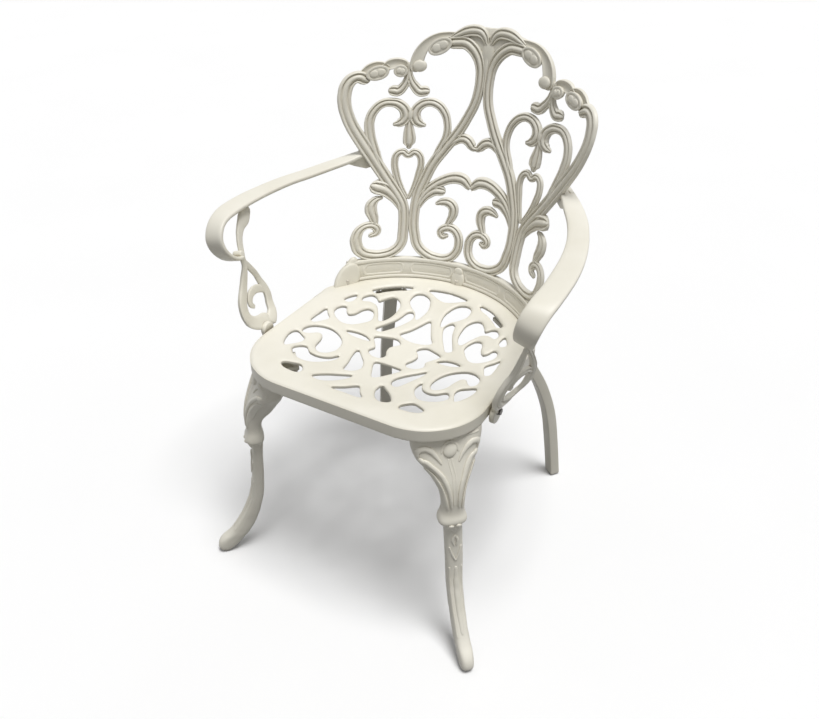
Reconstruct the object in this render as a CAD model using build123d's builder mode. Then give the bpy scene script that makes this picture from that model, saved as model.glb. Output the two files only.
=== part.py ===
"""Cast-metal garden armchair: seat, back, two arms, four legs, glides and bolts, in millimetres.

The chair faces -Y and stands on Z = 0. Its left half mirrors its right half about X = 0. Plan
positions are measured from the seat's axis, which lies a little in front of the box's centre.
"""
import os
from math import cos, hypot, radians, sin

from build123d import *

os.makedirs("parts", exist_ok=True)

# Overall and seat sizes
overall_width = 600
seat_height = 434
seat_half_width = 209
seat_front = 228
seat_corner_radius = 105
seat_side_angle = 22
seat_axis_back = 17
skirt_height = 22
skirt_wall = 8
border_plate = 8
border_side = 29
border_front = 36
lip_wall = 7
dish_depth = 36
dish_radius = 190
dish_centre = -15
dish_rim_drop = 4
plate_thickness = 8
rosette_radius = 15
rosette_height = 3

# Back sheet
back_radius = 214.5
back_flare = 0.3127
back_lean = 0.2002
back_height = 456
back_thickness = 12
crest_thickness = 24
crest_roll_width = 12
apron_height = 38
apron_half_width = 184
boss_radius = 13
boss_height = 31
finial_height = 13
end_boss_angle = 31.5

# Arms
arm_thickness = 8.5
arm_height = 638
arm_width_front = 38
arm_join_height = 655
arm_join_angle = 49.8
arm_boss_radius = 12
arm_boss_reach = 16
tab_thickness = 8
tab_height = 34
tab_length = 42
tab_overlap = 16
support_strand = 11
support_depth = 12
lug_thickness = 9
lug_width = 34
lug_height = 36
lug_position = -104
skirt_pad_proud = 2
skirt_pad_depth = 20

# Legs
flange_thickness = 8
front_leg_angle = -45
front_flange_inner = 178
front_flange_width = 60
knee_inner = 213
knee_outer = 253
knee_width = 100
collar_height = 256
collar_thickness = 12
collar_centre = 273
collar_depth = 34
collar_width = 44
foot_width = 24
toe_reach = 369
front_foot = 354
rear_leg_angle = 52.2
rear_leg_width = 25
rear_leg_depth = 20
rear_foot = 340
rear_top = 200
rear_flange_length = 34
rear_flange_width = 70
pad_sink = 1

# Glides
glide_radius = 10
glide_height = 4
glide_stem_radius = 3
glide_stem_length = 10
glide_stem_clearance = 0.1

# Bolts
bolt_diameter = 6
bolt_clearance = 0.6
tapped_clearance = 0.1
thread_engagement = 9
bolt_head_width = 10
bolt_head_height = 4
washer_radius = 6
washer_thickness = 1.5
spot_face_clearance = 1
hole_end_clearance = 1.5
front_bolt_reach = 196
front_bolt_spread = 18
rear_bolt_spread = 25

# Heights and radii that follow
skirt_bottom = seat_height - skirt_height
border_bottom = seat_height - border_plate
dish_ball = (dish_radius**2 + dish_depth**2) / (2 * dish_depth)
dish_ball_height = seat_height - dish_depth + dish_ball
dish_top = seat_height - dish_rim_drop
dish_bottom = seat_height - dish_depth - 2 * plate_thickness
seat_rear_radius = back_radius + back_thickness
bolt_circle = seat_rear_radius - (border_side + skirt_wall - lip_wall) / 2
flange_bottom = skirt_bottom - flange_thickness
clearance_radius = (bolt_diameter + bolt_clearance) / 2
tapped_radius = (bolt_diameter + tapped_clearance) / 2
back_rear = back_radius - seat_axis_back + back_lean * back_height + crest_thickness
toe_front = (toe_reach + foot_width / 2) * sin(radians(-front_leg_angle))
axis_y = (toe_front - back_rear) / 2


def level(height, y=0):
    """Give the horizontal plane at a height, with its origin on the seat's axis or behind it."""
    return Plane((0, axis_y + y, height))


def radial(angle, height=0):
    """Give the upright plane through the seat's axis, with x outwards at an angle from +X."""
    a = radians(angle)
    return Plane((0, axis_y, height), x_dir=(cos(a), sin(a), 0), z_dir=(sin(a), -cos(a), 0))


def facing(angle):
    """Give the upright plane through the seat's axis that looks outwards at an angle."""
    a = radians(angle)
    return Plane((0, axis_y, 0), x_dir=(-sin(a), cos(a), 0), z_dir=(cos(a), sin(a), 0))


def plan_point(angle, reach, aside=0):
    """Give the plan position at a reach along an angle and a step aside from it."""
    a = radians(angle)
    return (reach * cos(a) - aside * sin(a), reach * sin(a) + aside * cos(a))


def sheet_radius(height):
    """Give the radius of the back sheet's front face at a height above the seat."""
    return back_radius + back_flare * height


def sheet_axis(height):
    """Give the Y of the back sheet's axis, from the seat's axis, at a height above the seat."""
    return -seat_axis_back + (back_lean - back_flare) * height


# Places of the bosses, pads and bolts
standing = (Align.CENTER, Align.CENTER, Align.MIN)
boss_angles = (90, end_boss_angle, 180 - end_boss_angle)
boss_places = [(x, y - seat_axis_back) for x, y in (plan_point(a, bolt_circle) for a in boss_angles)]
knee_centre = (knee_inner + knee_outer) / 2
front_pad_centre = (front_flange_inner + knee_outer) / 2


def leg_bolts(angle, reach, spread):
    """Give the plan places of the bolts of a pair of legs."""
    both = (angle, 180 - angle)
    return [plan_point(a, reach, aside) for a in both for aside in (-spread, spread)]


leg_bolt_places = {
    "front": leg_bolts(front_leg_angle, front_bolt_reach, front_bolt_spread),
    "rear": leg_bolts(rear_leg_angle, rear_top, rear_bolt_spread),
}
lug_face = seat_half_width + skirt_pad_proud
arm_bolt_height = (skirt_bottom + border_bottom) / 2
arm_seat_planes = [
    Plane((side * (lug_face + lug_thickness), axis_y + lug_position, arm_bolt_height), z_dir=(-side, 0, 0))
    for side in (1, -1)
]
tapped_depth = thread_engagement + hole_end_clearance
join_above = arm_join_height - seat_height


def arm_join(reach, angle=arm_join_angle):
    """Give the upright plane at an arm's joint, facing outwards, at a reach from the back's axis."""
    a = radians(angle)
    place = (reach * cos(a), axis_y + sheet_axis(join_above) + reach * sin(a), arm_join_height)
    return Plane(place, x_dir=(-sin(a), cos(a), 0), z_dir=(cos(a), sin(a), 0))


def seat_outline(inset_side, inset_front):
    """Draw the seat's closed outline, drawn in at its sides and rear and at its front."""
    half = seat_half_width - inset_side
    front = inset_front - seat_front
    corner = seat_corner_radius - inset_side
    rear = seat_rear_radius - inset_side
    end_x, end_y = plan_point(seat_side_angle, rear)
    end = (end_x, end_y - seat_axis_back)
    with BuildLine() as outline:
        Line((0, front), (half - corner, front))
        RadiusArc((half - corner, front), (half, front + corner), -corner)
        Line((half, front + corner), end)
        RadiusArc(end, (0, rear - seat_axis_back), -rear)
        mirror(about=Plane.YZ)
    return outline.wire()


# Openings of the seat lattice, right half, from the rear to the front
seat_openings = [
    [(70, 155), (95, 145), (116, 129), (134, 109), (124, 104), (110, 118), (92, 133), (76, 143)],
    [(18, 118), (28, 140), (45, 147), (58, 140), (60, 122), (50, 108), (36, 98), (26, 82), (19, 98)],
    [(32, 84), (40, 97), (49, 92), (55, 70), (66, 48), (77, 26), (66, 22), (52, 42), (40, 62)],
    [(68, 98), (78, 112), (91, 113), (101, 102), (109, 90), (118, 96), (129, 96), (138, 82), (134, 72),
     (121, 79), (106, 77), (93, 61), (84, 46), (75, 52), (68, 72)],
    [(96, 49), (104, 61), (115, 61), (122, 50), (126, 36), (134, 26), (142, 30), (148, 40), (157, 34),
     (160, 19), (150, 5), (132, -1), (116, 6), (102, 24), (95, 37)],
    [(150, 80), (159, 68), (163, 55), (154, 52), (147, 64)],
    [(17, 10), (28, 21), (44, 18), (66, 6), (58, -8), (50, -20), (54, -34), (44, -45), (28, -45), (21, -34),
     (27, -20), (28, -6)],
    [(66, -11), (80, -3), (98, -5), (114, -14), (102, -19), (84, -17)],
    [(32, -92), (40, -74), (54, -58), (68, -46), (67, -64), (59, -90), (52, -116), (42, -116), (34, -106)],
    [(96, -58), (104, -43), (118, -33), (135, -30), (152, -37), (164, -50), (168, -66), (162, -76),
     (153, -70), (144, -57), (135, -57), (129, -70), (125, -90), (116, -102), (106, -102), (98, -92),
     (94, -76)],
    [(80, -84), (88, -102), (102, -114), (119, -116), (132, -106), (141, -112), (146, -127), (136, -140),
     (118, -146), (102, -142), (88, -126), (78, -104)],
    [(148, -90), (158, -84), (172, -80), (176, -94), (170, -116), (160, -130), (153, -119), (147, -104)],
    [(154, -8), (165, 3), (173, 11), (175, -10), (175, -33), (167, -38), (159, -23)],
    [(28, -124), (44, -136), (60, -152), (72, -172), (62, -180), (48, -175), (36, -160), (28, -142)],
    [(92, -173), (104, -160), (118, -165), (131, -174), (124, -183), (108, -187), (94, -185)],
]
centre_openings = [
    [(-40, 162), (0, 170), (40, 162), (24, 151), (0, 143), (-24, 151)],
    [(0, 90), (10, 74), (20, 55), (32, 36), (18, 28), (0, 26), (-18, 28), (-32, 36), (-20, 55), (-10, 74)],
    [(-26, -60), (-12, -55), (12, -55), (26, -60), (16, -84), (0, -108), (-16, -84)],
    [(0, -150), (14, -168), (28, -186), (0, -187), (-28, -186), (-14, -168)],
]

with BuildPart() as dish_underside:
    with BuildSketch(level(dish_bottom)):
        make_face(seat_outline(border_side - 2 * pad_sink, border_front - 2 * pad_sink))
    extrude(amount=dish_top - plate_thickness - dish_bottom)
    with Locations((0, axis_y + dish_centre, dish_ball_height)):
        Sphere(dish_ball + plate_thickness, mode=Mode.SUBTRACT)

with BuildPart() as leg_pads:
    with BuildSketch(level(skirt_bottom)):
        for angle in (front_leg_angle, 180 - front_leg_angle):
            with Locations(Location((*plan_point(angle, front_pad_centre), 0), (0, 0, angle))):
                Rectangle(knee_outer - front_flange_inner, front_flange_width)
            with Locations(Location((*plan_point(angle, knee_centre), 0), (0, 0, angle))):
                Rectangle(knee_outer - knee_inner, knee_width)
        for angle in (rear_leg_angle, 180 - rear_leg_angle):
            with Locations(Location((*plan_point(angle, rear_top), 0), (0, 0, angle))):
                Rectangle(rear_flange_length, rear_flange_width)
        make_face(seat_outline(0, 0), mode=Mode.INTERSECT)
    extrude(amount=dish_top - skirt_bottom)
    with Locations((0, axis_y + dish_centre, dish_ball_height)):
        Sphere(dish_ball + plate_thickness - pad_sink, mode=Mode.SUBTRACT)

with BuildPart() as seat:
    # Dished plate
    with BuildSketch(level(dish_bottom)):
        make_face(seat_outline(border_side - pad_sink, border_front - pad_sink))
    extrude(amount=dish_top - dish_bottom)
    with Locations((0, axis_y + dish_centre, dish_ball_height)):
        Sphere(dish_ball, mode=Mode.SUBTRACT)
    add(dish_underside.part, mode=Mode.SUBTRACT)
    # Lattice openings
    with BuildSketch(level(dish_bottom)):
        for points in seat_openings:
            with BuildLine():
                Spline(*points, periodic=True)
            make_face()
        mirror(about=Plane.YZ)
        for points in centre_openings:
            with BuildLine():
                Spline(*points, periodic=True)
            make_face()
    extrude(amount=dish_top - dish_bottom, mode=Mode.SUBTRACT)
    # Border, skirt and the lip round the dish
    with BuildSketch(level(border_bottom)):
        make_face(seat_outline(0, 0))
        make_face(seat_outline(border_side, border_front), mode=Mode.SUBTRACT)
    extrude(amount=border_plate)
    with BuildSketch(level(skirt_bottom)):
        make_face(seat_outline(0, 0))
        make_face(seat_outline(skirt_wall, skirt_wall), mode=Mode.SUBTRACT)
    extrude(amount=skirt_height)
    with BuildSketch(level(skirt_bottom)):
        make_face(seat_outline(border_side - lip_wall, border_front - lip_wall))
        make_face(seat_outline(border_side, border_front), mode=Mode.SUBTRACT)
    extrude(amount=skirt_height)
    # Rosette at the middle of the dish
    with Locations((0, axis_y + dish_centre, seat_height - dish_depth - plate_thickness / 2)):
        Cylinder(rosette_radius, plate_thickness / 2 + rosette_height, align=standing)
    # Pads for the legs and for the arm lugs
    add(leg_pads.part)
    with BuildSketch(level(skirt_bottom)):
        for side in (1, -1):
            with Locations((side * (lug_face - skirt_pad_depth / 2), lug_position)):
                Rectangle(skirt_pad_depth, lug_width)
    extrude(amount=skirt_height - pad_sink)
    # Bolt holes for the back, the legs and the arms
    with BuildSketch(level(skirt_bottom)):
        with Locations(*boss_places):
            Circle(washer_radius + spot_face_clearance)
    extrude(amount=border_bottom - skirt_bottom, mode=Mode.SUBTRACT)
    with BuildSketch(level(border_bottom)):
        with Locations(*boss_places):
            Circle(clearance_radius)
    extrude(amount=border_plate, mode=Mode.SUBTRACT)
    with BuildSketch(level(skirt_bottom)):
        with Locations(*leg_bolt_places["front"], *leg_bolt_places["rear"]):
            Circle(tapped_radius)
    extrude(amount=tapped_depth, mode=Mode.SUBTRACT)
    with BuildSketch(*(plane.offset(lug_thickness) for plane in arm_seat_planes)):
        Circle(tapped_radius)
    extrude(amount=tapped_depth, mode=Mode.SUBTRACT)
seat.part.label = "seat"
export_step(seat.part, "parts/seat.step")


# Scrolls of the back, right half, as (across, above the seat) points with a strand's width
back_strands = [
    # inner strand from the crest down to its scroll
    ([(62, 418), (40, 423), (18, 403), (9, 358), (13, 324), (38, 276), (76, 216), (97, 156), (98, 100),
      (88, 61), (50, 39), (14, 54), (10, 80), (26, 99), (42, 99)], 18),
    # outer strand from its lobe down to its scroll
    ([(220, 367), (229, 331), (210, 281), (181, 231), (150, 181), (120, 141), (114, 96), (116, 60), (143, 42),
      (174, 51), (181, 82), (166, 98)], 18),
    # stem under the crest, its two curls and the backing of the beads
    ([(131, 388), (130, 366), (129, 346)], 14),
    ([(128, 352), (121, 336), (108, 330), (97, 337)], 13),
    ([(131, 352), (140, 336), (152, 330), (162, 337)], 13),
    ([(133, 372), (150, 386), (170, 387), (185, 381), (199, 366)], 14),
    # two arms of the heart
    ([(78, 214), (62, 256), (57, 278), (62, 301), (75, 315), (94, 318), (110, 311), (115, 297),
      (107, 285)], 11),
    ([(165, 208), (177, 246), (184, 276), (183, 298), (173, 314), (157, 319), (143, 314), (136, 301),
      (141, 287)], 11),
    # top of the small loop, and the arch, its leaf and the bracket between the inner strands
    ([(94, 210), (108, 231), (128, 231), (142, 208)], 11),
    ([(91, 148), (80, 166), (66, 181), (48, 190), (28, 192), (10, 183)], 14),
    ([(90, 140), (78, 158), (62, 165)], 12),
    ([(54, 244), (38, 260), (22, 263), (10, 256)], 12),
    # leaves on the scrolls and off the outer strand
    ([(45, 98), (34, 116), (28, 130), (38, 145)], 14),
    ([(160, 92), (163, 116), (167, 134), (165, 147)], 14),
    ([(124, 132), (142, 158), (158, 168), (168, 171)], 18),
]
back_bulbs = [
    (58, 419, 11), (42, 92, 12), (212, 362, 12), (162, 91, 11), (97, 337, 9), (162, 337, 8), (114, 378, 10),
    (103, 286, 8), (146, 286, 8), (124, 294, 9), (5, 178, 9), (56, 164, 8), (6, 249, 8), (44, 147, 8),
]
back_beads = [(87, 416, 18, 12, -20), (182, 370, 17, 11, -15), (149, 374, 12, 10, 0)]
crest_line = [(-4, 435), (12, 444), (28, 447), (50, 443), (90, 427), (108, 416), (122, 401), (131, 380)]
crest_width = 18
crest_roll_line = [(-4, 435), (12, 444), (28, 447), (50, 443), (90, 427)]
pendant = [(124, 296), (133, 258), (120, 234), (108, 258)]
loop_field = [(94, 214), (96, 156), (108, 118), (128, 152), (148, 182), (156, 206), (128, 231), (108, 231)]
loop_hole = [(103, 217), (116, 223), (130, 214), (126, 184), (112, 160), (104, 188)]
front_view = Plane((0, axis_y, seat_height), x_dir=(1, 0, 0), z_dir=(0, -1, 0))
sheet_overrun = 10
boss_root = 3
finial_tip_radius = 5
join_radius = sheet_radius(join_above)


def back_cone(growth):
    """Build the solid inside the back's flared and leaning sheet, grown outwards."""
    with BuildPart() as cone:
        for height in (-sheet_overrun, back_height + sheet_overrun):
            with BuildSketch(level(seat_height + height, sheet_axis(height))):
                Circle(sheet_radius(height) + growth)
        loft(ruled=True)
    return cone.part


with BuildPart() as crest_roll:
    with BuildSketch(front_view):
        with BuildLine():
            Spline(*crest_roll_line)
        trace(line_width=crest_roll_width)
        mirror(about=Plane.YZ)
    extrude(amount=-(back_rear + sheet_overrun))
    add(back_cone(crest_thickness), mode=Mode.INTERSECT)
    add(back_cone(back_thickness / 2), mode=Mode.SUBTRACT)

with BuildPart() as backrest:
    # Scroll lattice seen from the front, bent to the sheet
    with BuildSketch(front_view):
        for points, width in back_strands:
            with BuildLine():
                Spline(*points)
            trace(line_width=width)
        with BuildLine():
            Spline(*crest_line)
        trace(line_width=crest_width)
        with BuildLine():
            Spline(*pendant, periodic=True)
        make_face()
        with BuildLine():
            Polyline(*loop_field, close=True)
        make_face()
        with BuildLine():
            Spline(*loop_hole, periodic=True)
        make_face(mode=Mode.SUBTRACT)
        for across, above, radius in back_bulbs:
            with Locations((across, above)):
                Circle(radius)
        for across, above, long_half, short_half, tilt in back_beads:
            with Locations((across, above)):
                Ellipse(long_half, short_half, rotation=tilt)
        mirror(about=Plane.YZ)
        with Locations((0, apron_height / 2)):
            Rectangle(2 * apron_half_width, apron_height)
    extrude(amount=-(back_rear + sheet_overrun))
    add(back_cone(back_thickness), mode=Mode.INTERSECT)
    add(back_cone(0), mode=Mode.SUBTRACT)
    # Bosses on the seat, with a finial on each end one
    with BuildSketch(level(seat_height)):
        with Locations(*boss_places):
            Circle(boss_radius)
    extrude(amount=boss_height)
    for x, y in boss_places[1:]:
        with Locations((x, axis_y + y, seat_height + boss_height)):
            Cone(boss_radius, finial_tip_radius, finial_height, align=standing)
    # Bosses for the arms on the rear face
    for angle in (arm_join_angle, 180 - arm_join_angle):
        with BuildSketch(arm_join(join_radius + boss_root, angle)):
            Circle(arm_boss_radius)
        extrude(amount=arm_boss_reach - boss_root)
    # Crest rolled towards the rear
    add(crest_roll.part)
    # Tapped holes
    with BuildSketch(level(seat_height)):
        with Locations(*boss_places):
            Circle(tapped_radius)
    extrude(amount=tapped_depth, mode=Mode.SUBTRACT)
    for angle in (arm_join_angle, 180 - arm_join_angle):
        with BuildSketch(arm_join(join_radius + arm_boss_reach, angle)):
            Circle(tapped_radius)
        extrude(amount=-tapped_depth, mode=Mode.SUBTRACT)
backrest.part.label = "backrest"
export_step(backrest.part, "parts/backrest.step")


def join_point(reach, along):
    """Give the plan place at a reach from the back's axis and a step along an arm's tab."""
    x, y = plan_point(arm_join_angle, reach, along)
    return (x, y + sheet_axis(join_above))


# Arms: plan outline of the armrest, its side view, and the scrolls in the leaning slab below it
front_x = overall_width / 2
arm_slab_x = front_x - arm_width_front / 2
lug_x = lug_face + lug_thickness / 2
slab_run = arm_slab_x - lug_x
slab_rise = arm_height - arm_bolt_height
slab_length = hypot(slab_run, slab_rise)
arm_slab = Plane((lug_x, axis_y, arm_bolt_height), x_dir=(0, 1, 0), z_dir=(slab_rise, 0, -slab_run))
arm_side = Plane((0, axis_y, 0), x_dir=(0, 1, 0), z_dir=(1, 0, 0))
tab_reach = join_radius + arm_boss_reach
arm_outer_edge = [join_point(tab_reach + tab_thickness, -tab_overlap), (front_x - 67, 162),
                  (front_x - 30, 89), (front_x - 7, 3), (front_x, -88), (front_x - 1, -104)]
arm_inner_edge = [(front_x - 38, -104), (front_x - 38, -88), (front_x - 44, 11), (front_x - 59, 79),
                  (front_x - 76, 130), join_point(tab_reach, -tab_overlap)]
arm_side_line = [(206, arm_join_height - 3), (120, arm_height + 8), (42, arm_height + 5),
                 (-46, arm_height + 1), (-110, arm_height - 3)]
curl_line = [(-66, slab_length - 1), (-94, slab_length - 3), (-126, slab_length - 14),
             (-141, slab_length - 34), (-143, slab_length - 48), (-137, slab_length - 68),
             (-124, slab_length - 82), (-104, slab_length - 90)]
front_strand = [(-58, slab_length - 3), (-85, slab_length - 52), (-103, slab_length - 91), (-122, 104),
                (-135, 82), (-138, 61), (-128, 36), (-112, 16)]
rear_strand = [(-102, slab_length - 86), (-80, 90), (-64, 44), (-74, 24), (-94, 14)]
inner_curl = [(-70, 28), (-84, 54), (-100, 64), (-114, 56)]
inner_curl_bulb = (-112, 52)
inner_curl_bulb_radius = 8
lug_below_bolt = 12

with BuildPart() as support_right:
    with BuildSketch(arm_slab):
        for points in (front_strand, rear_strand, inner_curl):
            with BuildLine():
                Spline(*points)
            trace(line_width=support_strand)
        with Locations(inner_curl_bulb):
            Circle(inner_curl_bulb_radius)
    extrude(amount=support_depth / 2, both=True)
    split(bisect_by=Plane((lug_face, 0, 0), z_dir=(1, 0, 0)), keep=Keep.TOP)
    with BuildSketch(arm_seat_planes[0]):
        with Locations((0, lug_height / 2 - lug_below_bolt)):
            Rectangle(lug_width, lug_height)
    extrude(amount=lug_thickness)

with BuildPart() as arm_right:
    # Armrest
    with BuildSketch(level(arm_height - tab_height)):
        with BuildLine():
            outer = Spline(*arm_outer_edge)
            inner = Spline(*arm_inner_edge)
            Line(outer @ 1, inner @ 0)
            Line(inner @ 1, outer @ 0)
        make_face()
    extrude(amount=2 * tab_height)
    with BuildSketch(arm_side):
        with BuildLine():
            Spline(*arm_side_line)
        trace(line_width=arm_thickness)
    extrude(amount=overall_width, mode=Mode.INTERSECT)
    # Front curl and scroll support
    with BuildSketch(arm_slab):
        with BuildLine():
            Spline(*curl_line)
        trace(line_width=arm_thickness)
    extrude(amount=arm_width_front / 2 - 1, both=True)
    add(support_right.part)
    # Upright tab behind the back
    with BuildSketch(arm_join(tab_reach)):
        with Locations((-tab_length / 2 + arm_boss_radius, 0)):
            Rectangle(tab_length, tab_height)
    extrude(amount=tab_thickness)
    # Bolt holes
    with BuildSketch(arm_join(tab_reach)):
        Circle(clearance_radius)
    extrude(amount=tab_thickness, mode=Mode.SUBTRACT)
    with BuildSketch(arm_join(tab_reach + tab_thickness)):
        Circle(washer_radius + spot_face_clearance)
    extrude(amount=arm_boss_reach, mode=Mode.SUBTRACT)
    with BuildSketch(arm_seat_planes[0]):
        Circle(clearance_radius)
    extrude(amount=lug_thickness, mode=Mode.SUBTRACT)
    with BuildSketch(arm_seat_planes[0]):
        Circle(washer_radius + spot_face_clearance)
    extrude(amount=-support_depth, mode=Mode.SUBTRACT)

with BuildPart() as arm_left:
    mirror(arm_right.part, about=Plane.YZ)

# Legs: side view as (out from the axis, height) and half widths seen from the front
knee_line = [(knee_outer, skirt_bottom), (270, 364), (284, 318), (286, 291), (282, 262), (281, 239),
             (286, 188), (290, 150), (304, 106), (335, 58), (362, 40), (toe_reach, 22)]
calf_line = [(front_foot - foot_width / 2, glide_height), (318, 25), (291, 65), (273, 119), (266, 175),
             (262, 234), (263, 276), (257, 309), (240, 322), (222, 346), (knee_inner, 380),
             (knee_inner, skirt_bottom)]
knee_half_widths = [(foot_width / 2, glide_height), (12.5, 100), (14, 239), (18.5, 283), (21.5, 318),
                    (28, 337), (37, 356), (43, 375), (knee_width / 2, skirt_bottom)]

with BuildPart() as front_leg_right:
    with BuildSketch(radial(front_leg_angle)):
        with BuildLine():
            outer = Spline(*knee_line)
            toe = Line(outer @ 1, (front_foot + foot_width / 2, glide_height))
            inner = Spline(*calf_line)
            Line(toe @ 1, inner @ 0)
            Line(inner @ 1, outer @ 0)
        make_face()
    extrude(amount=knee_width, both=True)
    with BuildSketch(facing(front_leg_angle)):
        with BuildLine():
            edge = Spline(*knee_half_widths)
            Line((0, glide_height), edge @ 0)
            Line(edge @ 1, (0, skirt_bottom))
            mirror(about=Plane.YZ)
        make_face()
    extrude(amount=toe_reach + foot_width, mode=Mode.INTERSECT)
    with BuildSketch(level(collar_height)):
        with Locations(Location((*plan_point(front_leg_angle, collar_centre), 0), (0, 0, front_leg_angle))):
            Ellipse(collar_depth / 2, collar_width / 2)
    extrude(amount=collar_thickness)
    with BuildSketch(level(flange_bottom)):
        front_pad = plan_point(front_leg_angle, front_pad_centre)
        with Locations(Location((*front_pad, 0), (0, 0, front_leg_angle))):
            Rectangle(knee_outer - front_flange_inner, front_flange_width)
    extrude(amount=flange_thickness)
    with BuildSketch(level(flange_bottom)):
        with Locations(*leg_bolt_places["front"]):
            Circle(clearance_radius)
    extrude(amount=flange_thickness, mode=Mode.SUBTRACT)
    with BuildSketch(level(glide_height)):
        with Locations(plan_point(front_leg_angle, front_foot)):
            Circle(glide_stem_radius + glide_stem_clearance)
    extrude(amount=glide_stem_length + hole_end_clearance, mode=Mode.SUBTRACT)

with BuildPart() as front_leg_left:
    mirror(front_leg_right.part, about=Plane.YZ)

bar_line = [(rear_foot, glide_height), (327, 90), (311, 173), (285, 245), (252, 306),
            (rear_top, skirt_bottom)]
bar_outward = [0.5, 0.5, 0.5, 0.48, 0.45, 0.6]

with BuildPart() as rear_leg_right:
    with BuildSketch(radial(rear_leg_angle)):
        with BuildLine():
            outer = Spline(*((r + rear_leg_depth * k, z) for (r, z), k in zip(bar_line, bar_outward)))
            inner = Spline(*((r - rear_leg_depth * k, z) for (r, z), k in zip(bar_line, bar_outward)))
            Line(outer @ 0, inner @ 0)
            Line(outer @ 1, inner @ 1)
        make_face()
    extrude(amount=rear_leg_width / 2, both=True)
    with BuildSketch(level(flange_bottom)):
        with Locations(Location((*plan_point(rear_leg_angle, rear_top), 0), (0, 0, rear_leg_angle))):
            Rectangle(rear_flange_length, rear_flange_width)
    extrude(amount=flange_thickness)
    with BuildSketch(level(flange_bottom)):
        with Locations(*leg_bolt_places["rear"]):
            Circle(clearance_radius)
    extrude(amount=flange_thickness, mode=Mode.SUBTRACT)
    with BuildSketch(level(glide_height)):
        with Locations(plan_point(rear_leg_angle, rear_foot)):
            Circle(glide_stem_radius + glide_stem_clearance)
    extrude(amount=glide_stem_length + hole_end_clearance, mode=Mode.SUBTRACT)

with BuildPart() as rear_leg_left:
    mirror(rear_leg_right.part, about=Plane.YZ)

for name, piece in (
    ("arm_right", arm_right),
    ("arm_left", arm_left),
    ("front_leg_right", front_leg_right),
    ("front_leg_left", front_leg_left),
    ("rear_leg_right", rear_leg_right),
    ("rear_leg_left", rear_leg_left),
):
    piece.part.label = name
    export_step(piece.part, f"parts/{name}.step")

# Glides
for name, angle, reach in (
    ("front_right_glide", front_leg_angle, front_foot),
    ("front_left_glide", 180 - front_leg_angle, front_foot),
    ("rear_right_glide", rear_leg_angle, rear_foot),
    ("rear_left_glide", 180 - rear_leg_angle, rear_foot),
):
    x, y = plan_point(angle, reach)
    with BuildPart() as glide:
        with Locations((x, axis_y + y, 0)):
            Cylinder(glide_radius, glide_height, align=standing)
            Cylinder(glide_stem_radius, glide_height + glide_stem_length, align=standing)
    glide.part.label = name
    export_step(glide.part, f"parts/{name}.step")

# Bolts and washers, on planes at the clamped face that look into the joint
for name, planes, clamped in (
    ("back_seat", [Plane((x, axis_y + y, border_bottom)) for x, y in boss_places], border_plate),
    ("front_leg", [Plane((x, axis_y + y, flange_bottom)) for x, y in leg_bolt_places["front"]],
     flange_thickness),
    ("rear_leg", [Plane((x, axis_y + y, flange_bottom)) for x, y in leg_bolt_places["rear"]],
     flange_thickness),
    ("arm_back", [-arm_join(tab_reach + tab_thickness, a) for a in (arm_join_angle, 180 - arm_join_angle)],
     tab_thickness),
    ("arm_seat", arm_seat_planes, lug_thickness),
):
    with BuildPart() as washers:
        with BuildSketch(*planes):
            Circle(washer_radius)
            Circle(clearance_radius, mode=Mode.SUBTRACT)
        extrude(amount=-washer_thickness)
    with BuildPart() as bolts:
        with BuildSketch(*(plane.offset(-washer_thickness) for plane in planes)):
            Circle(bolt_diameter / 2)
        extrude(amount=washer_thickness + clamped + thread_engagement)
        with BuildSketch(*(plane.offset(-washer_thickness) for plane in planes)):
            RegularPolygon(bolt_head_width / 2, 6, major_radius=False)
        extrude(amount=-bolt_head_height)
    for kind, group in (("bolts", bolts), ("washers", washers)):
        group.part.label = f"{name}_{kind}"
        export_step(group.part, f"parts/{name}_{kind}.step")
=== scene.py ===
"""Cast-metal garden armchair in a cream-white powder coat, seen from its front and right.

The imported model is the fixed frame. The castings are modelled here with their scrolls, leaves and
beads, and stand for the plain solids. Plan places are in millimetres from the seat's axis.
"""

import logging
import math
from dataclasses import dataclass
from enum import Enum
from typing import Callable, Iterable, Sequence

import bmesh
import bpy
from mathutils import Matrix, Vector, geometry, kdtree


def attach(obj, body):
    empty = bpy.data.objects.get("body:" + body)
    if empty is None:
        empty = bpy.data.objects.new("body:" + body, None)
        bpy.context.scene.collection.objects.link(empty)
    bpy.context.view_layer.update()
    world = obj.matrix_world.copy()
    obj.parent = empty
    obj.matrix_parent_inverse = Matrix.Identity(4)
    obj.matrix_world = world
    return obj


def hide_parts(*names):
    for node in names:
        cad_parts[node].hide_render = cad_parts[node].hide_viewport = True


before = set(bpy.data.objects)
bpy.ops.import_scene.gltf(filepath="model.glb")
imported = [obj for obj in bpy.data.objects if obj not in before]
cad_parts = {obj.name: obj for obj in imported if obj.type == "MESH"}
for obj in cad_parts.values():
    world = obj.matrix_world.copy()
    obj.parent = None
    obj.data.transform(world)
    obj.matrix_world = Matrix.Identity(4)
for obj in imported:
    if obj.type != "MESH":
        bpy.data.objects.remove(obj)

LOG = logging.getLogger("armchair")
MM = 0.001
# The seat's axis along Y, and the height of its top
AXIS_Y = -21.7
SEAT_TOP = 434.0
# Underside and top of the legs' flanges
FLANGE_HEIGHTS = (404.0, 412.0)
# Width of a plain rounded edge
EDGE = 1.5
BAR_SIDES = 48
BEAD_SIDES = (28, 16)
CURVE_STEPS = 8
# Reach past a strand's end and width there, in widths of the strand
ROUND_END = ((0.25, 0.87), (0.43, 0.5), (0.5, 0.06))

Point2 = tuple[float, float]
Point3 = tuple[float, float, float]
Place = Callable[[Vector], Vector]


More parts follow.
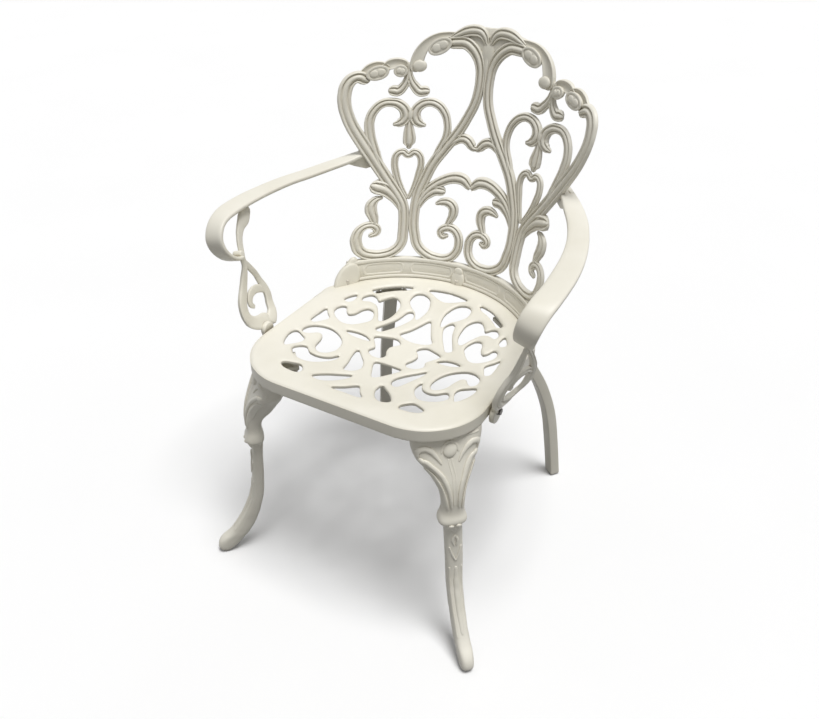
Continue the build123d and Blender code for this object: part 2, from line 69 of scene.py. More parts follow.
def deselect() -> None:
    """Leave nothing selected and nothing active."""
    for obj in bpy.context.selected_objects:
        obj.select_set(False)
    bpy.context.view_layer.objects.active = None


def activate(*objects: bpy.types.Object) -> None:
    """Select these objects alone and make the first one active.

    Args:
        objects: The objects to select.
    """
    deselect()
    for obj in objects:
        obj.select_set(True)
    bpy.context.view_layer.objects.active = objects[0]


def join(name: str, objects: Sequence[bpy.types.Object]) -> bpy.types.Object:
    """Join meshes into one object.

    Args:
        name: The joined object's name.
        objects: The meshes, of which the first takes in the rest.

    Returns:
        The joined object.
    """
    activate(*objects)
    if len(objects) > 1:
        bpy.ops.object.join()
    joined = bpy.context.view_layer.objects.active
    joined.name = name
    joined.data.name = name
    return joined


def modify(obj: bpy.types.Object, kind: str, **settings: object) -> None:
    """Add a modifier with its settings and apply it.

    Args:
        obj: The mesh to change.
        kind: The modifier's type.
        settings: Values for the modifier's properties.
    """
    activate(obj)
    modifier = obj.modifiers.new(kind.lower(), kind)
    for key, value in settings.items():
        setattr(modifier, key, value)
    bpy.ops.object.modifier_apply(modifier=modifier.name)


def bend(obj: bpy.types.Object, place: Place) -> None:
    """Move every vertex of a flat piece to its place on the casting.

    Args:
        obj: The mesh, drawn flat.
        place: Gives a point's place in space.
    """
    for vertex in obj.data.vertices:
        vertex.co = place(vertex.co)
    obj.data.update()


def smooth(obj: bpy.types.Object, angle: float = 50.0) -> None:
    """Turn the normals outwards and shade smooth.

    Args:
        obj: The mesh.
        angle: The angle between faces, in degrees, above which an edge stays sharp.
    """
    activate(obj)
    bpy.ops.object.mode_set(mode="EDIT")
    bpy.ops.mesh.select_all(action="SELECT")
    bpy.ops.mesh.normals_make_consistent(inside=False)
    bpy.ops.object.mode_set(mode="OBJECT")
    bpy.ops.object.shade_smooth_by_angle(angle=math.radians(angle))


def mirrored(obj: bpy.types.Object, name: str) -> bpy.types.Object:
    """Copy a right-hand piece to the left.

    Args:
        obj: The right-hand mesh.
        name: The copy's name.

    Returns:
        The left-hand mesh, with its faces outwards.
    """
    copy = obj.copy()
    copy.data = obj.data.copy()
    bpy.context.collection.objects.link(copy)
    copy.name = name
    copy.data.name = name
    for vertex in copy.data.vertices:
        vertex.co.x = -vertex.co.x
    copy.data.flip_normals()
    return copy


def loft(name: str, rings: Sequence[Sequence[Vector]]) -> bpy.types.Object:
    """Skin a closed bar through rings of points.

    Args:
        name: The new object's name.
        rings: Rings of equally many points, in order along the bar.

    Returns:
        The mesh, closed at both ends.
    """
    count = len(rings[0])
    bm = bmesh.new()
    rows = [[bm.verts.new(point) for point in ring] for ring in rings]
    for low, high in zip(rows, rows[1:]):
        for i in range(count):
            j = (i + 1) % count
            bm.faces.new((low[i], low[j], high[j], high[i]))
    bm.faces.new(list(reversed(rows[0])))
    bm.faces.new(rows[-1])
    bmesh.ops.recalc_face_normals(bm, faces=bm.faces)
    mesh = bpy.data.meshes.new(name)
    bm.to_mesh(mesh)
    bm.free()
    obj = bpy.data.objects.new(name, mesh)
    bpy.context.collection.objects.link(obj)
    return obj


def through(values: Sequence[Sequence[float]], steps: int) -> list[list[float]]:
    """Run a smooth curve through rows of numbers.

    Args:
        values: Rows of equally many numbers.
        steps: Rows to give between each pair.

    Returns:
        The finer rows, first and last included.
    """
    rows = [list(row) for row in values]
    padded = [rows[0], *rows, rows[-1]]
    fine = []
    for a, b, c, d in zip(padded, padded[1:], padded[2:], padded[3:]):
        for step in range(steps):
            t = step / steps
            fine.append([
                0.5 * (2 * q + (r - p) * t + (2 * p - 5 * q + 4 * r - s) * t * t
                       + (3 * q - p - 3 * r + s) * t ** 3)
                for p, q, r, s in zip(a, b, c, d)
            ])
    fine.append(rows[-1])
    return fine


def ramp(value: float, zero: float, one: float) -> float:
    """Give a value's share of the way between two others, held to 0 and 1.

    Args:
        value: The value.
        zero: Where the share is 0.
        one: Where the share is 1.

    Returns:
        The share.
    """
    return min(1.0, max(0.0, (value - zero) / (one - zero)))


def directions(angle: float) -> tuple[Vector, Vector]:
    """Give the directions in plan of a piece that stands at an angle.

    Args:
        angle: The angle, in degrees from the chair's right.

    Returns:
        The directions outwards and sideways.
    """
    turn = math.radians(angle)
    return Vector((math.cos(turn), math.sin(turn), 0)), Vector((-math.sin(turn), math.cos(turn), 0))


def squared(step: int, powers: Point2) -> list[Point2]:
    """Trace a circle that is pulled out towards its square.

    Args:
        step: The angle between points, in degrees.
        powers: The powers on the two coordinates. The smaller they are, the squarer it is.

    Returns:
        The points, within -1 and 1.
    """
    circle = [(math.cos(math.radians(a)), math.sin(math.radians(a))) for a in range(0, 360, step)]
    return [
        (math.copysign(abs(c) ** powers[0], c), math.copysign(abs(s) ** powers[1], s)) for c, s in circle
    ]


def box(name: str, size: Point3, turn: float, centre: Vector, edge: float, segments: int) -> bpy.types.Object:
    """Model an upright block.

    Args:
        name: The new object's name.
        size: Its size along its own axes.
        turn: Its turn in plan, in radians.
        centre: Its middle, in metres.
        edge: The width of its rounded edges.
        segments: The steps of each rounded edge.

    Returns:
        The block, with rounded edges.
    """
    deselect()
    bpy.ops.mesh.primitive_cube_add(size=1)
    obj = bpy.context.view_layer.objects.active
    obj.name = name
    obj.scale = [side * MM for side in size]
    obj.rotation_euler = (0, 0, turn)
    obj.location = centre
    bpy.ops.object.transform_apply(location=True, rotation=True, scale=True)
    modify(obj, "BEVEL", width=edge * MM, segments=segments)
    return obj


def flange(name: str, ahead: Vector, reach: Point2, width: float) -> bpy.types.Object:
    """Model a leg's flange, which lies flat under the seat.

    Args:
        name: The new object's name.
        ahead: Its direction outwards in plan.
        reach: Where it starts and ends along that direction.
        width: Its width across.

    Returns:
        The flange, with rounded edges.
    """
    low, high = FLANGE_HEIGHTS
    centre = ahead * (reach[0] + reach[1]) / 2 * MM + Vector((0, AXIS_Y, (low + high) / 2)) * MM
    return box(name, (reach[1] - reach[0], width, high - low), math.atan2(ahead.y, ahead.x), centre, EDGE, 3)


def bar(name: str, radius: float, length: float, lean: float, centre: Vector,
        edge: float) -> bpy.types.Object:
    """Model a short round bar.

    Args:
        name: The new object's name.
        radius: Its radius.
        length: Its length.
        lean: The angle of its axis from upright towards the right, in degrees.
        centre: Its middle.
        edge: The width of its rounded rims.

    Returns:
        The bar, with rounded rims.
    """
    deselect()
    bpy.ops.mesh.primitive_cylinder_add(vertices=BAR_SIDES, radius=radius * MM, depth=length * MM)
    obj = bpy.context.view_layer.objects.active
    obj.name = name
    obj.rotation_euler = (0, math.radians(lean), 0)
    obj.location = centre * MM
    bpy.ops.object.transform_apply(location=True, rotation=True, scale=True)
    modify(obj, "BEVEL", width=edge * MM, segments=4, limit_method="ANGLE")
    return obj


class Section(Enum):
    """Cross-sections of cast strands, as (across, up) in half widths."""

    REEDED = (
        (-1.0, -0.26), (-0.98, 0.12), (-0.9, 0.34), (-0.76, 0.44), (-0.64, 0.36), (-0.52, 0.12),
        (-0.46, 0.11), (-0.36, 0.3), (-0.2, 0.53), (0.0, 0.62), (0.2, 0.53), (0.36, 0.3), (0.46, 0.11),
        (0.52, 0.12), (0.64, 0.36), (0.76, 0.44), (0.9, 0.34), (0.98, 0.12), (1.0, -0.26), (0.86, -0.4),
        (0.6, -0.48), (-0.6, -0.48), (-0.86, -0.4),
    )
    LEAF = (
        (-1.0, -0.26), (-0.99, 0.2), (-0.93, 0.38), (-0.83, 0.42), (-0.72, 0.34), (-0.5, 0.2), (0.0, 0.12),
        (0.5, 0.2), (0.72, 0.34), (0.83, 0.42), (0.93, 0.38), (0.99, 0.2), (1.0, -0.26), (0.86, -0.4),
        (0.6, -0.48), (-0.6, -0.48), (-0.86, -0.4),
    )
    ROUND = tuple(
        (math.cos(math.radians(a)), 0.72 * math.sin(math.radians(a))) for a in range(0, 360, 20)
    )
    PLATE = (
        (-1.0, -0.2), (-1.0, 0.2), (-0.93, 0.28), (0.93, 0.28), (1.0, 0.2), (1.0, -0.2), (0.93, -0.28),
        (-0.93, -0.28),
    )
    WALL = ((-4.0, -1.0), (-4.0, 1.0), (4.0, 1.0), (4.0, -1.0))


@dataclass(frozen=True)
class Stroke:
    """One drawn strand: (across, up, width) points in millimetres, and how far it stands proud."""

    points: tuple[Point3, ...]
    proud: float = 0.0
    section: Section = Section.REEDED
    closed: bool = False


@dataclass(frozen=True)
class Bead:
    """One oval boss: its centre, half length, half width, half depth and turn in degrees."""

    across: float
    up: float
    long_half: float
    short_half: float
    depth_half: float
    turn: float = 0.0
    proud: float = 0.0

    def at(self, x: float, y: float) -> Point2:
        """Give the drawn place of a point on the boss.

        Args:
            x: How far the point lies along the boss from its centre.
            y: How far it lies across.

        Returns:
            The place, turned with the boss.
        """
        turn = math.radians(self.turn)
        return (self.across + x * math.cos(turn) - y * math.sin(turn),
                self.up + x * math.sin(turn) + y * math.cos(turn))


def rounded(stroke: Stroke) -> list[Point3]:
    """Round off the free ends of a stroke.

    Args:
        stroke: The stroke.

    Returns:
        Its points, with a half round added at each end that is off the middle line.
    """
    points = list(stroke.points)
    if stroke.closed or stroke.section in (Section.PLATE, Section.WALL):
        return points
    tips = []
    for (x, y, width), (back_x, back_y, _) in ((points[0], points[1]), (points[-1], points[-2])):
        far = math.dist((x, y), (back_x, back_y))
        ahead = ((x - back_x) / far * width, (y - back_y) / far * width)
        steps = ROUND_END if x != 0 else ()
        tips.append([(x + ahead[0] * reach, y + ahead[1] * reach, width * share) for reach, share in steps])
    return [*reversed(tips[0]), *points, *tips[1]]


def sweep(name: str, strokes: Iterable[Stroke], section: Section) -> bpy.types.Object:
    """Sweep one section along strokes drawn flat, with their width at each point.

    Args:
        name: The new object's name.
        strokes: The strokes.
        section: The section to sweep.

    Returns:
        The swept strands as one mesh, in metres, lying in XY.
    """
    outline = bpy.data.curves.new(f"{name}_section", "CURVE")
    outline.dimensions = "2D"
    line = outline.splines.new("POLY")
    line.points.add(len(section.value) - 1)
    for point, (x, y) in zip(line.points, section.value):
        point.co = (x, y, 0, 1)
    line.use_cyclic_u = True
    profile = bpy.data.objects.new(f"{name}_section", outline)
    bpy.context.collection.objects.link(profile)
    deselect()
    bpy.ops.curve.primitive_bezier_curve_add(location=(0, 0, 0))
    obj = bpy.context.view_layer.objects.active
    curve = obj.data
    curve.splines.clear()
    curve.dimensions = "3D"
    curve.twist_mode = "Z_UP"
    curve.resolution_u = CURVE_STEPS
    curve.bevel_mode = "OBJECT"
    curve.bevel_object = profile
    curve.use_fill_caps = True
    for stroke in strokes:
        points = rounded(stroke)
        spline = curve.splines.new("BEZIER")
        spline.bezier_points.add(len(points) - 1)
        spline.use_cyclic_u = stroke.closed
        for point, (x, y, width) in zip(spline.bezier_points, points):
            point.co = (x * MM, y * MM, stroke.proud * MM)
            point.radius = width / 2 * MM
            point.handle_left_type = "AUTO"
            point.handle_right_type = "AUTO"
    activate(obj)
    bpy.ops.object.convert(target="MESH")
    obj = bpy.context.view_layer.objects.active
    obj.name = name
    bpy.data.objects.remove(profile)
    return obj


def strands(name: str, strokes: Sequence[Stroke]) -> list[bpy.types.Object]:
    """Sweep strokes, one mesh for each section that they use.

    Args:
        name: The start of the new objects' names.
        strokes: The strokes.

    Returns:
        The meshes, lying flat.
    """
    made = []
    for section in Section:
        chosen = [stroke for stroke in strokes if stroke.section is section]
        if chosen:
            made.append(sweep(f"{name}_{section.name.lower()}", chosen, section))
    return made


def beads(name: str, bosses: Sequence[Bead]) -> list[bpy.types.Object]:
    """Round a sphere into each oval boss.

    Args:
        name: The start of the new objects' names.
        bosses: The bosses.

    Returns:
        The meshes, lying flat.
    """
    made = []
    for boss in bosses:
        deselect()
        bpy.ops.mesh.primitive_uv_sphere_add(segments=BEAD_SIDES[0], ring_count=BEAD_SIDES[1], radius=MM)
        obj = bpy.context.view_layer.objects.active
        obj.name = f"{name}_bead"
        obj.scale = (boss.long_half, boss.short_half, boss.depth_half)
        obj.rotation_euler = (0, 0, math.radians(boss.turn))
        obj.location = (boss.across * MM, boss.up * MM, boss.proud * MM)
        bpy.ops.object.transform_apply(location=True, rotation=True, scale=True)
        made.append(obj)
    return made


@dataclass(frozen=True)
class Finish:
    """A procedural surface: two tones, a roughness range, a fine bump and painted shade in the crevices."""

    name: str
    tone: Point3
    shade: Point3
    metallic: float = 0.0
    roughness: Point2 = (0.36, 0.5)
    grain: float = 700.0
    grain_height: float = 0.05
    # Painted shade in crevices: its strength, the occlusion's reach and range, its tone and samples
    crevice_shade: float = 0.0
    crevice_reach: float = 0.012
    crevice_range: Point2 = (0.15, 0.75)
    crevice_shade_tone: Point3 = (0.42, 0.38, 0.3)
    crevice_samples: int = 6
    cloud: float = 9.0
    cloud_range: Point2 = (0.3, 0.6)
    gloss_cloud: float = 40.0
    bump: float = 0.35

    def painted_crevice_shade(self, tree: bpy.types.NodeTree, colour: bpy.types.NodeSocket) -> bpy.types.NodeSocket:
        """Paint shade into a colour where the surface is hollow.

        Args:
            tree: The node tree to add to.
            colour: The colour before the painted shade.

        Returns:
            The colour with painted shade in its crevices.
        """
        # Painted shade: ambient occlusion darkens the colour in crevices, where shade falls
        hollow = tree.nodes.new("ShaderNodeAmbientOcclusion")
        hollow.samples = self.crevice_samples
        hollow.inputs["Distance"].default_value = self.crevice_reach
        shade_share = tree.nodes.new("ShaderNodeMapRange")
        shade_share.inputs["From Min"].default_value = self.crevice_range[0]
        shade_share.inputs["From Max"].default_value = self.crevice_range[1]
        shade_share.inputs["To Min"].default_value = self.crevice_shade
        shade_share.inputs["To Max"].default_value = 0.0
        tree.links.new(hollow.outputs["AO"], shade_share.inputs["Value"])
        mix = tree.nodes.new("ShaderNodeMixRGB")
        mix.blend_type = "MULTIPLY"
        mix.inputs["Color2"].default_value = (*self.crevice_shade_tone, 1)
        tree.links.new(shade_share.outputs["Result"], mix.inputs["Fac"])
        tree.links.new(colour, mix.inputs["Color1"])
        return mix.outputs["Color"]

    def make(self) -> bpy.types.Material:
        """Build the node material.

        Returns:
            The material, with noise in its colour, roughness and bump.
        """
        material = bpy.data.materials.new(self.name)
        material.use_nodes = True
        tree = material.node_tree
        shader = tree.nodes["Principled BSDF"]
        shader.inputs["Metallic"].default_value = self.metallic
        coordinates = tree.nodes.new("ShaderNodeTexCoord")

        def noise(scale: float, detail: float) -> bpy.types.NodeSocket:
            """Add a noise on the piece's own coordinates.

            Args:
                scale: Its scale.
                detail: Its detail.

            Returns:
                Its value.
            """
            node = tree.nodes.new("ShaderNodeTexNoise")
            node.inputs["Scale"].default_value = scale
            node.inputs["Detail"].default_value = detail
            tree.links.new(coordinates.outputs["Object"], node.inputs["Vector"])
            return node.outputs["Fac"]

        tones = tree.nodes.new("ShaderNodeValToRGB")
        for element, position, tone in zip(tones.color_ramp.elements, self.cloud_range,
                                           (self.shade, self.tone)):
            element.position = position
            element.color = (*tone, 1)
        tree.links.new(noise(self.cloud, detail=4.0), tones.inputs["Fac"])
        colour = tones.outputs["Color"]
        # Paint shade into the crevices
        if self.crevice_shade > 0:
            colour = self.painted_crevice_shade(tree, colour)
        tree.links.new(colour, shader.inputs["Base Color"])
        gloss = tree.nodes.new("ShaderNodeMapRange")
        gloss.inputs["To Min"].default_value = self.roughness[0]
        gloss.inputs["To Max"].default_value = self.roughness[1]
        tree.links.new(noise(self.gloss_cloud, detail=3.0), gloss.inputs["Value"])
        tree.links.new(gloss.outputs["Result"], shader.inputs["Roughness"])
        bump = tree.nodes.new("ShaderNodeBump")
        bump.inputs["Strength"].default_value = self.bump
        bump.inputs["Distance"].default_value = self.grain_height * MM
        tree.links.new(noise(self.grain, detail=2.0), bump.inputs["Height"])
        tree.links.new(bump.outputs["Normal"], shader.inputs["Normal"])
        return material


# The cream coat carries painted shade in its crevices
POWDER_COAT = Finish("cream_powder_coat", (0.855, 0.825, 0.73), (0.795, 0.762, 0.655), crevice_shade=0.75)
DARK_STEEL = Finish("dark_steel", (0.12, 0.115, 0.105), (0.07, 0.066, 0.06), metallic=1.0,
                    roughness=(0.32, 0.5), grain=1500.0, grain_height=0.03)
COATED_STEEL = Finish("coated_steel", (0.78, 0.74, 0.66), (0.68, 0.64, 0.56),
                      roughness=(0.34, 0.48), grain=1200.0, grain_height=0.04)
NYLON = Finish("glide_nylon", (0.62, 0.6, 0.55), (0.54, 0.52, 0.47), roughness=(0.5, 0.62), grain=900.0)


@dataclass
class Backrest:
    """The leaning, curved openwork back with its apron."""

    sheet_radius: float = 214.5
    flare: float = 0.3127
    axis_start: float = -17.0
    axis_slope: float = -0.1125
    sheet_middle: float = 4.5
    sheet_end: float = 0.999
    relief: float = 10.0
    strands: tuple[Stroke, ...] = (
        # Inner strand from the crest to the lower inner scroll
        Stroke(((65, 854, 21), (56, 855, 22), (43, 855, 22), (31, 849, 22), (19, 837, 21), (11, 820, 19),
                (8.5, 800, 18), (9, 780, 18), (13, 758, 18), (22, 736, 18), (33, 714, 19), (44, 696, 20),
                (60, 673, 20), (76, 648, 20), (88, 618, 20), (97, 588, 19), (99.5, 550, 18), (98, 530, 18),
                (95, 517, 18), (88, 496, 18), (72, 481, 18), (50, 474, 18), (28, 477, 17), (14, 490, 17),
                (10, 508, 17), (14, 524, 17), (26, 534, 16), (40, 533, 15), (48, 525, 14), (43, 517, 12),
                (36, 519, 9))),
        # Outer strand from the lobe to the lower outer scroll
        Stroke(((202, 791, 19), (209, 794.5, 20), (217.5, 792.5, 20), (223.5, 784.5, 19.5),
                (226, 770, 18.5), (224.5, 751, 17.5), (219, 732, 17.5), (211, 713, 18), (201, 695, 19),
                (190, 677, 20), (178, 658, 20), (164, 636, 20), (148, 612, 20), (131, 588, 19),
                (121, 570, 18), (117, 550, 18), (115.5, 530, 18), (115, 517, 18), (116, 498, 18),
                (126, 484, 18), (143, 477, 18), (161, 478, 18), (175, 486, 16), (182, 500, 15),
                (184, 517, 15), (179, 530, 14), (168, 534, 13), (158, 528, 13), (157, 519, 12),
                (164, 515, 9))),
        # Crest, in two leaves that meet in the middle
        Stroke(((4, 858, 9), (9, 868, 15), (17, 874.5, 18), (29, 876, 19), (43, 873.5, 18), (56, 868, 14),
                (66, 863, 8)), 1.5),
        Stroke(((62, 867, 8), (78, 865.5, 10), (92, 862, 12), (104, 855, 15), (113, 846, 18),
                (119.5, 834.5, 21), (123, 823, 22.5), (124.5, 813, 21)), 0.5, Section.LEAF),
        # Webs behind the crest's middle
        Stroke(((0, 868.5, 26), (10, 871, 22), (22, 872, 18)), -2, Section.PLATE),
        Stroke(((0, 851, 16), (8, 853, 16), (18, 860, 14), (32, 863, 12), (50, 863, 10)), -1,
               Section.PLATE),
        # The crest's roll towards the rear
        Stroke(((0, 860, 14), (12, 864, 15), (24, 867, 16), (38, 867, 16), (54, 864, 15), (70, 860, 14),
                (86, 857, 12), (96, 852, 9)), -9, Section.ROUND),
        Stroke(((0, 859, 13), (12, 863, 14), (24, 866, 15), (38, 866, 15), (54, 863, 14), (70, 859, 13),
                (84, 856, 10)), -15, Section.ROUND),
        # Scallops over the beads
        Stroke(((139, 811, 11), (145, 815, 16), (155, 816.5, 18), (165, 814.5, 18), (173, 810, 13)), -1,
               Section.LEAF),
        Stroke(((169, 808, 10), (177, 812.5, 12), (187, 813, 13), (197, 808.5, 13), (204, 802, 10)), -1,
               Section.LEAF),
        # Curls at the foot of the stem
        Stroke(((136, 814, 9), (134, 800, 11), (130, 789, 13), (122, 778, 16), (113, 771, 18),
                (105, 771.5, 18))),
        Stroke(((135, 814, 9), (136, 800, 11), (137, 788, 13), (142, 777, 16), (149, 770.5, 18),
                (156, 771, 18))),
        # Heart arms
        Stroke(((80, 640, 13), (68, 672, 15), (58, 700, 14), (60, 724, 14), (68, 740, 15), (82, 751, 15),
                (97, 753, 15), (110, 747, 17), (117, 735, 19), (115, 723, 19), (107, 716, 15),
                (100, 714, 8))),
        Stroke(((160, 630, 13), (175, 668, 15), (185, 700, 15), (187, 722, 15), (182, 738, 15),
                (171, 749, 15), (157, 751, 15), (144, 747, 17), (134, 736, 19), (133, 724, 19),
                (141, 716, 15), (148, 714, 8))),
        # Loop
        Stroke(((112, 584, 7), (105, 605, 10), (100, 628, 12), (98, 650, 12), (103, 662, 12),
                (111, 666, 12), (121, 660, 11), (131, 666, 12), (139, 662, 12), (142, 650, 12),
                (138, 628, 12), (129, 606, 10), (116, 584, 7))),
        # Arch and the leaf under it
        Stroke(((97, 566, 10), (91, 583, 14), (81, 598, 17), (67, 611, 18), (52, 620, 19), (38, 625.5, 20),
                (25, 627, 21), (14, 624.5, 20), (6, 618, 16), (0, 613, 11))),
        Stroke(((93, 568, 9), (86, 583, 14), (76, 594, 18), (65, 600, 19), (56, 600, 18))),
        # Bracket
        Stroke(((62, 668, 8), (52, 681, 12), (40, 691.5, 15), (27, 697, 17), (16, 694, 18), (9, 687.5, 17),
                (4, 683.5, 12), (0, 683, 9))),
        # Leaves on the scrolls
        Stroke(((40, 533, 8), (33, 547, 14), (28, 561, 18), (30, 574, 19), (41, 581, 17), (53, 580, 13),
                (60, 577, 8))),
        Stroke(((160, 533, 8), (164, 547, 15), (169, 561, 18), (169, 573, 17), (163, 581, 12),
                (157, 583, 7))),
        Stroke(((120, 556, 8), (128, 572, 14), (140, 588, 20), (153, 599, 25), (163, 603, 26))),
    )
    bosses: tuple[Bead, ...] = (Bead(117.5, 813.5, 12, 10, 7, proud=2.5), Bead(124.5, 731, 5, 12, 5))
    ovals: tuple[Bead, ...] = (
        Bead(183.5, 801.5, 17, 11.5, 7, -15, 2), Bead(148, 805, 11, 9.5, 7, 12, 2),
        Bead(86, 847.5, 21, 12.5, 7, -26, 2.5),
    )
    rim_inset: float = 1.5
    rim_width: float = 4.5
    rim_step: int = 30
    dome_aside: float = 0.3
    dome_size: Point2 = (0.38, 0.55)
    dome_height: float = 5.0
    # Two of the apron's, then two under the crest
    middle_bosses: tuple[Bead, ...] = (
        Bead(0, 443, 14, 17, 11, proud=5), Bead(0, 459, 9.5, 8, 9, proud=5),
        Bead(0, 841, 12, 21, 4.5), Bead(0, 822, 5, 24, 5),
    )
    pendant: tuple[Point3, ...] = (
        (125, 722, 7), (125, 711, 14), (124, 700, 19), (122.5, 690, 22), (122, 682, 21), (121.5, 676, 10),
    )
    apron_across: tuple[float, ...] = (0, 30, 60, 90, 120, 150, 175, 190)
    # height, width
    apron_band: Point2 = (453, 38)
    apron_rails: tuple[Point2, ...] = ((437.5, 6), (468.5, 7))
    rail_proud: float = 5.5
    # inner side, outer side
    panels: tuple[Point2, ...] = ((18, 91), (111, 165))
    panel_heights: Point2 = (444, 462)
    panel_corner: Point2 = (4, 1)
    panel_line: float = 4.0
    panel_proud: float = 5.0
    apron_knobs: tuple[Bead, ...] = (
        Bead(186.5, 443, 14, 28, 16, proud=5), Bead(184, 470, 6, 9, 6, proud=1),
    )

    def place(self, point: Vector) -> Vector:
        """Put a point drawn flat (across, height, proud) on the leaning sheet.

        Args:
            point: The drawn point, in metres.

        Returns:
            Its place in space.
        """
        height = point.y - SEAT_TOP * MM
        radius = self.sheet_radius * MM + self.flare * height
        middle = radius + self.sheet_middle * MM
        turn = math.asin(max(-self.sheet_end, min(self.sheet_end, point.x / middle)))
        relief = self.relief * MM
        reach = middle - (relief * math.tanh(point.z / relief) if point.z > 0 else point.z)
        axis = (self.axis_start + AXIS_Y) * MM + self.axis_slope * height
        return Vector((reach * math.sin(turn), axis + reach * math.cos(turn), point.y))

    def oval(self, bead: Bead) -> list[Stroke | Bead]:
        """Give a bead's raised rim and the two domes inside it.

        Args:
            bead: The bead.

        Returns:
            The base, the rim and the domes.
        """
        length, width = bead.long_half - self.rim_inset, bead.short_half - self.rim_inset
        rim = tuple(
            (*bead.at(length * math.cos(a), width * math.sin(a)), self.rim_width)
            for a in (math.radians(degrees) for degrees in range(0, 360, self.rim_step))
        )
        domes = [
            Bead(*bead.at(side * bead.long_half * self.dome_aside, 0), bead.long_half * self.dome_size[0],
                 bead.short_half * self.dome_size[1], self.dome_height, bead.turn,
                 bead.proud + self.dome_height)
            for side in (-1, 1)
        ]
        return [bead, Stroke(rim, bead.proud + self.rim_width, Section.ROUND, True), *domes]

    def apron(self) -> list[Stroke | Bead]:
        """Give the apron's band, its rails, panel borders and bosses.

        Returns:
            The strokes and bosses of the right half.
        """
        band = Stroke(tuple((x, *self.apron_band) for x in self.apron_across), 0, Section.PLATE)
        rails = [
            Stroke(tuple((x, *rail) for x in self.apron_across), self.rail_proud, Section.ROUND)
            for rail in self.apron_rails
        ]
        (low, high), (cut, rise) = self.panel_heights, self.panel_corner
        borders = []
        for a, b in self.panels:
            corners = ((a, low + rise), (a + cut, low), (b - cut, low), (b, low + rise),
                       (b, high - rise), (b - cut, high), (a + cut, high), (a, high - rise))
            line = tuple((*corner, self.panel_line) for corner in corners)
            borders.append(Stroke(line, self.panel_proud, Section.ROUND, True))
        return [band, *rails, *borders, *self.apron_knobs]

    def build(self) -> bpy.types.Object:
        """Model the whole back.

        Returns:
            The back as one mesh.
        """
        drawn: list[Stroke | Bead] = [*self.strands, *self.bosses, Stroke(self.pendant), *self.apron()]
        for bead in self.ovals:
            drawn.extend(self.oval(bead))
        flat = join("backrest_casting", [
            *strands("back", [item for item in drawn if isinstance(item, Stroke)]),
            *beads("back", [item for item in drawn if isinstance(item, Bead)]),
        ])
        modify(flat, "MIRROR", use_mirror_merge=False)
        flat = join("backrest_casting", [flat, *beads("back_middle", self.middle_bosses)])
        bend(flat, self.place)
        smooth(flat)
        return flat


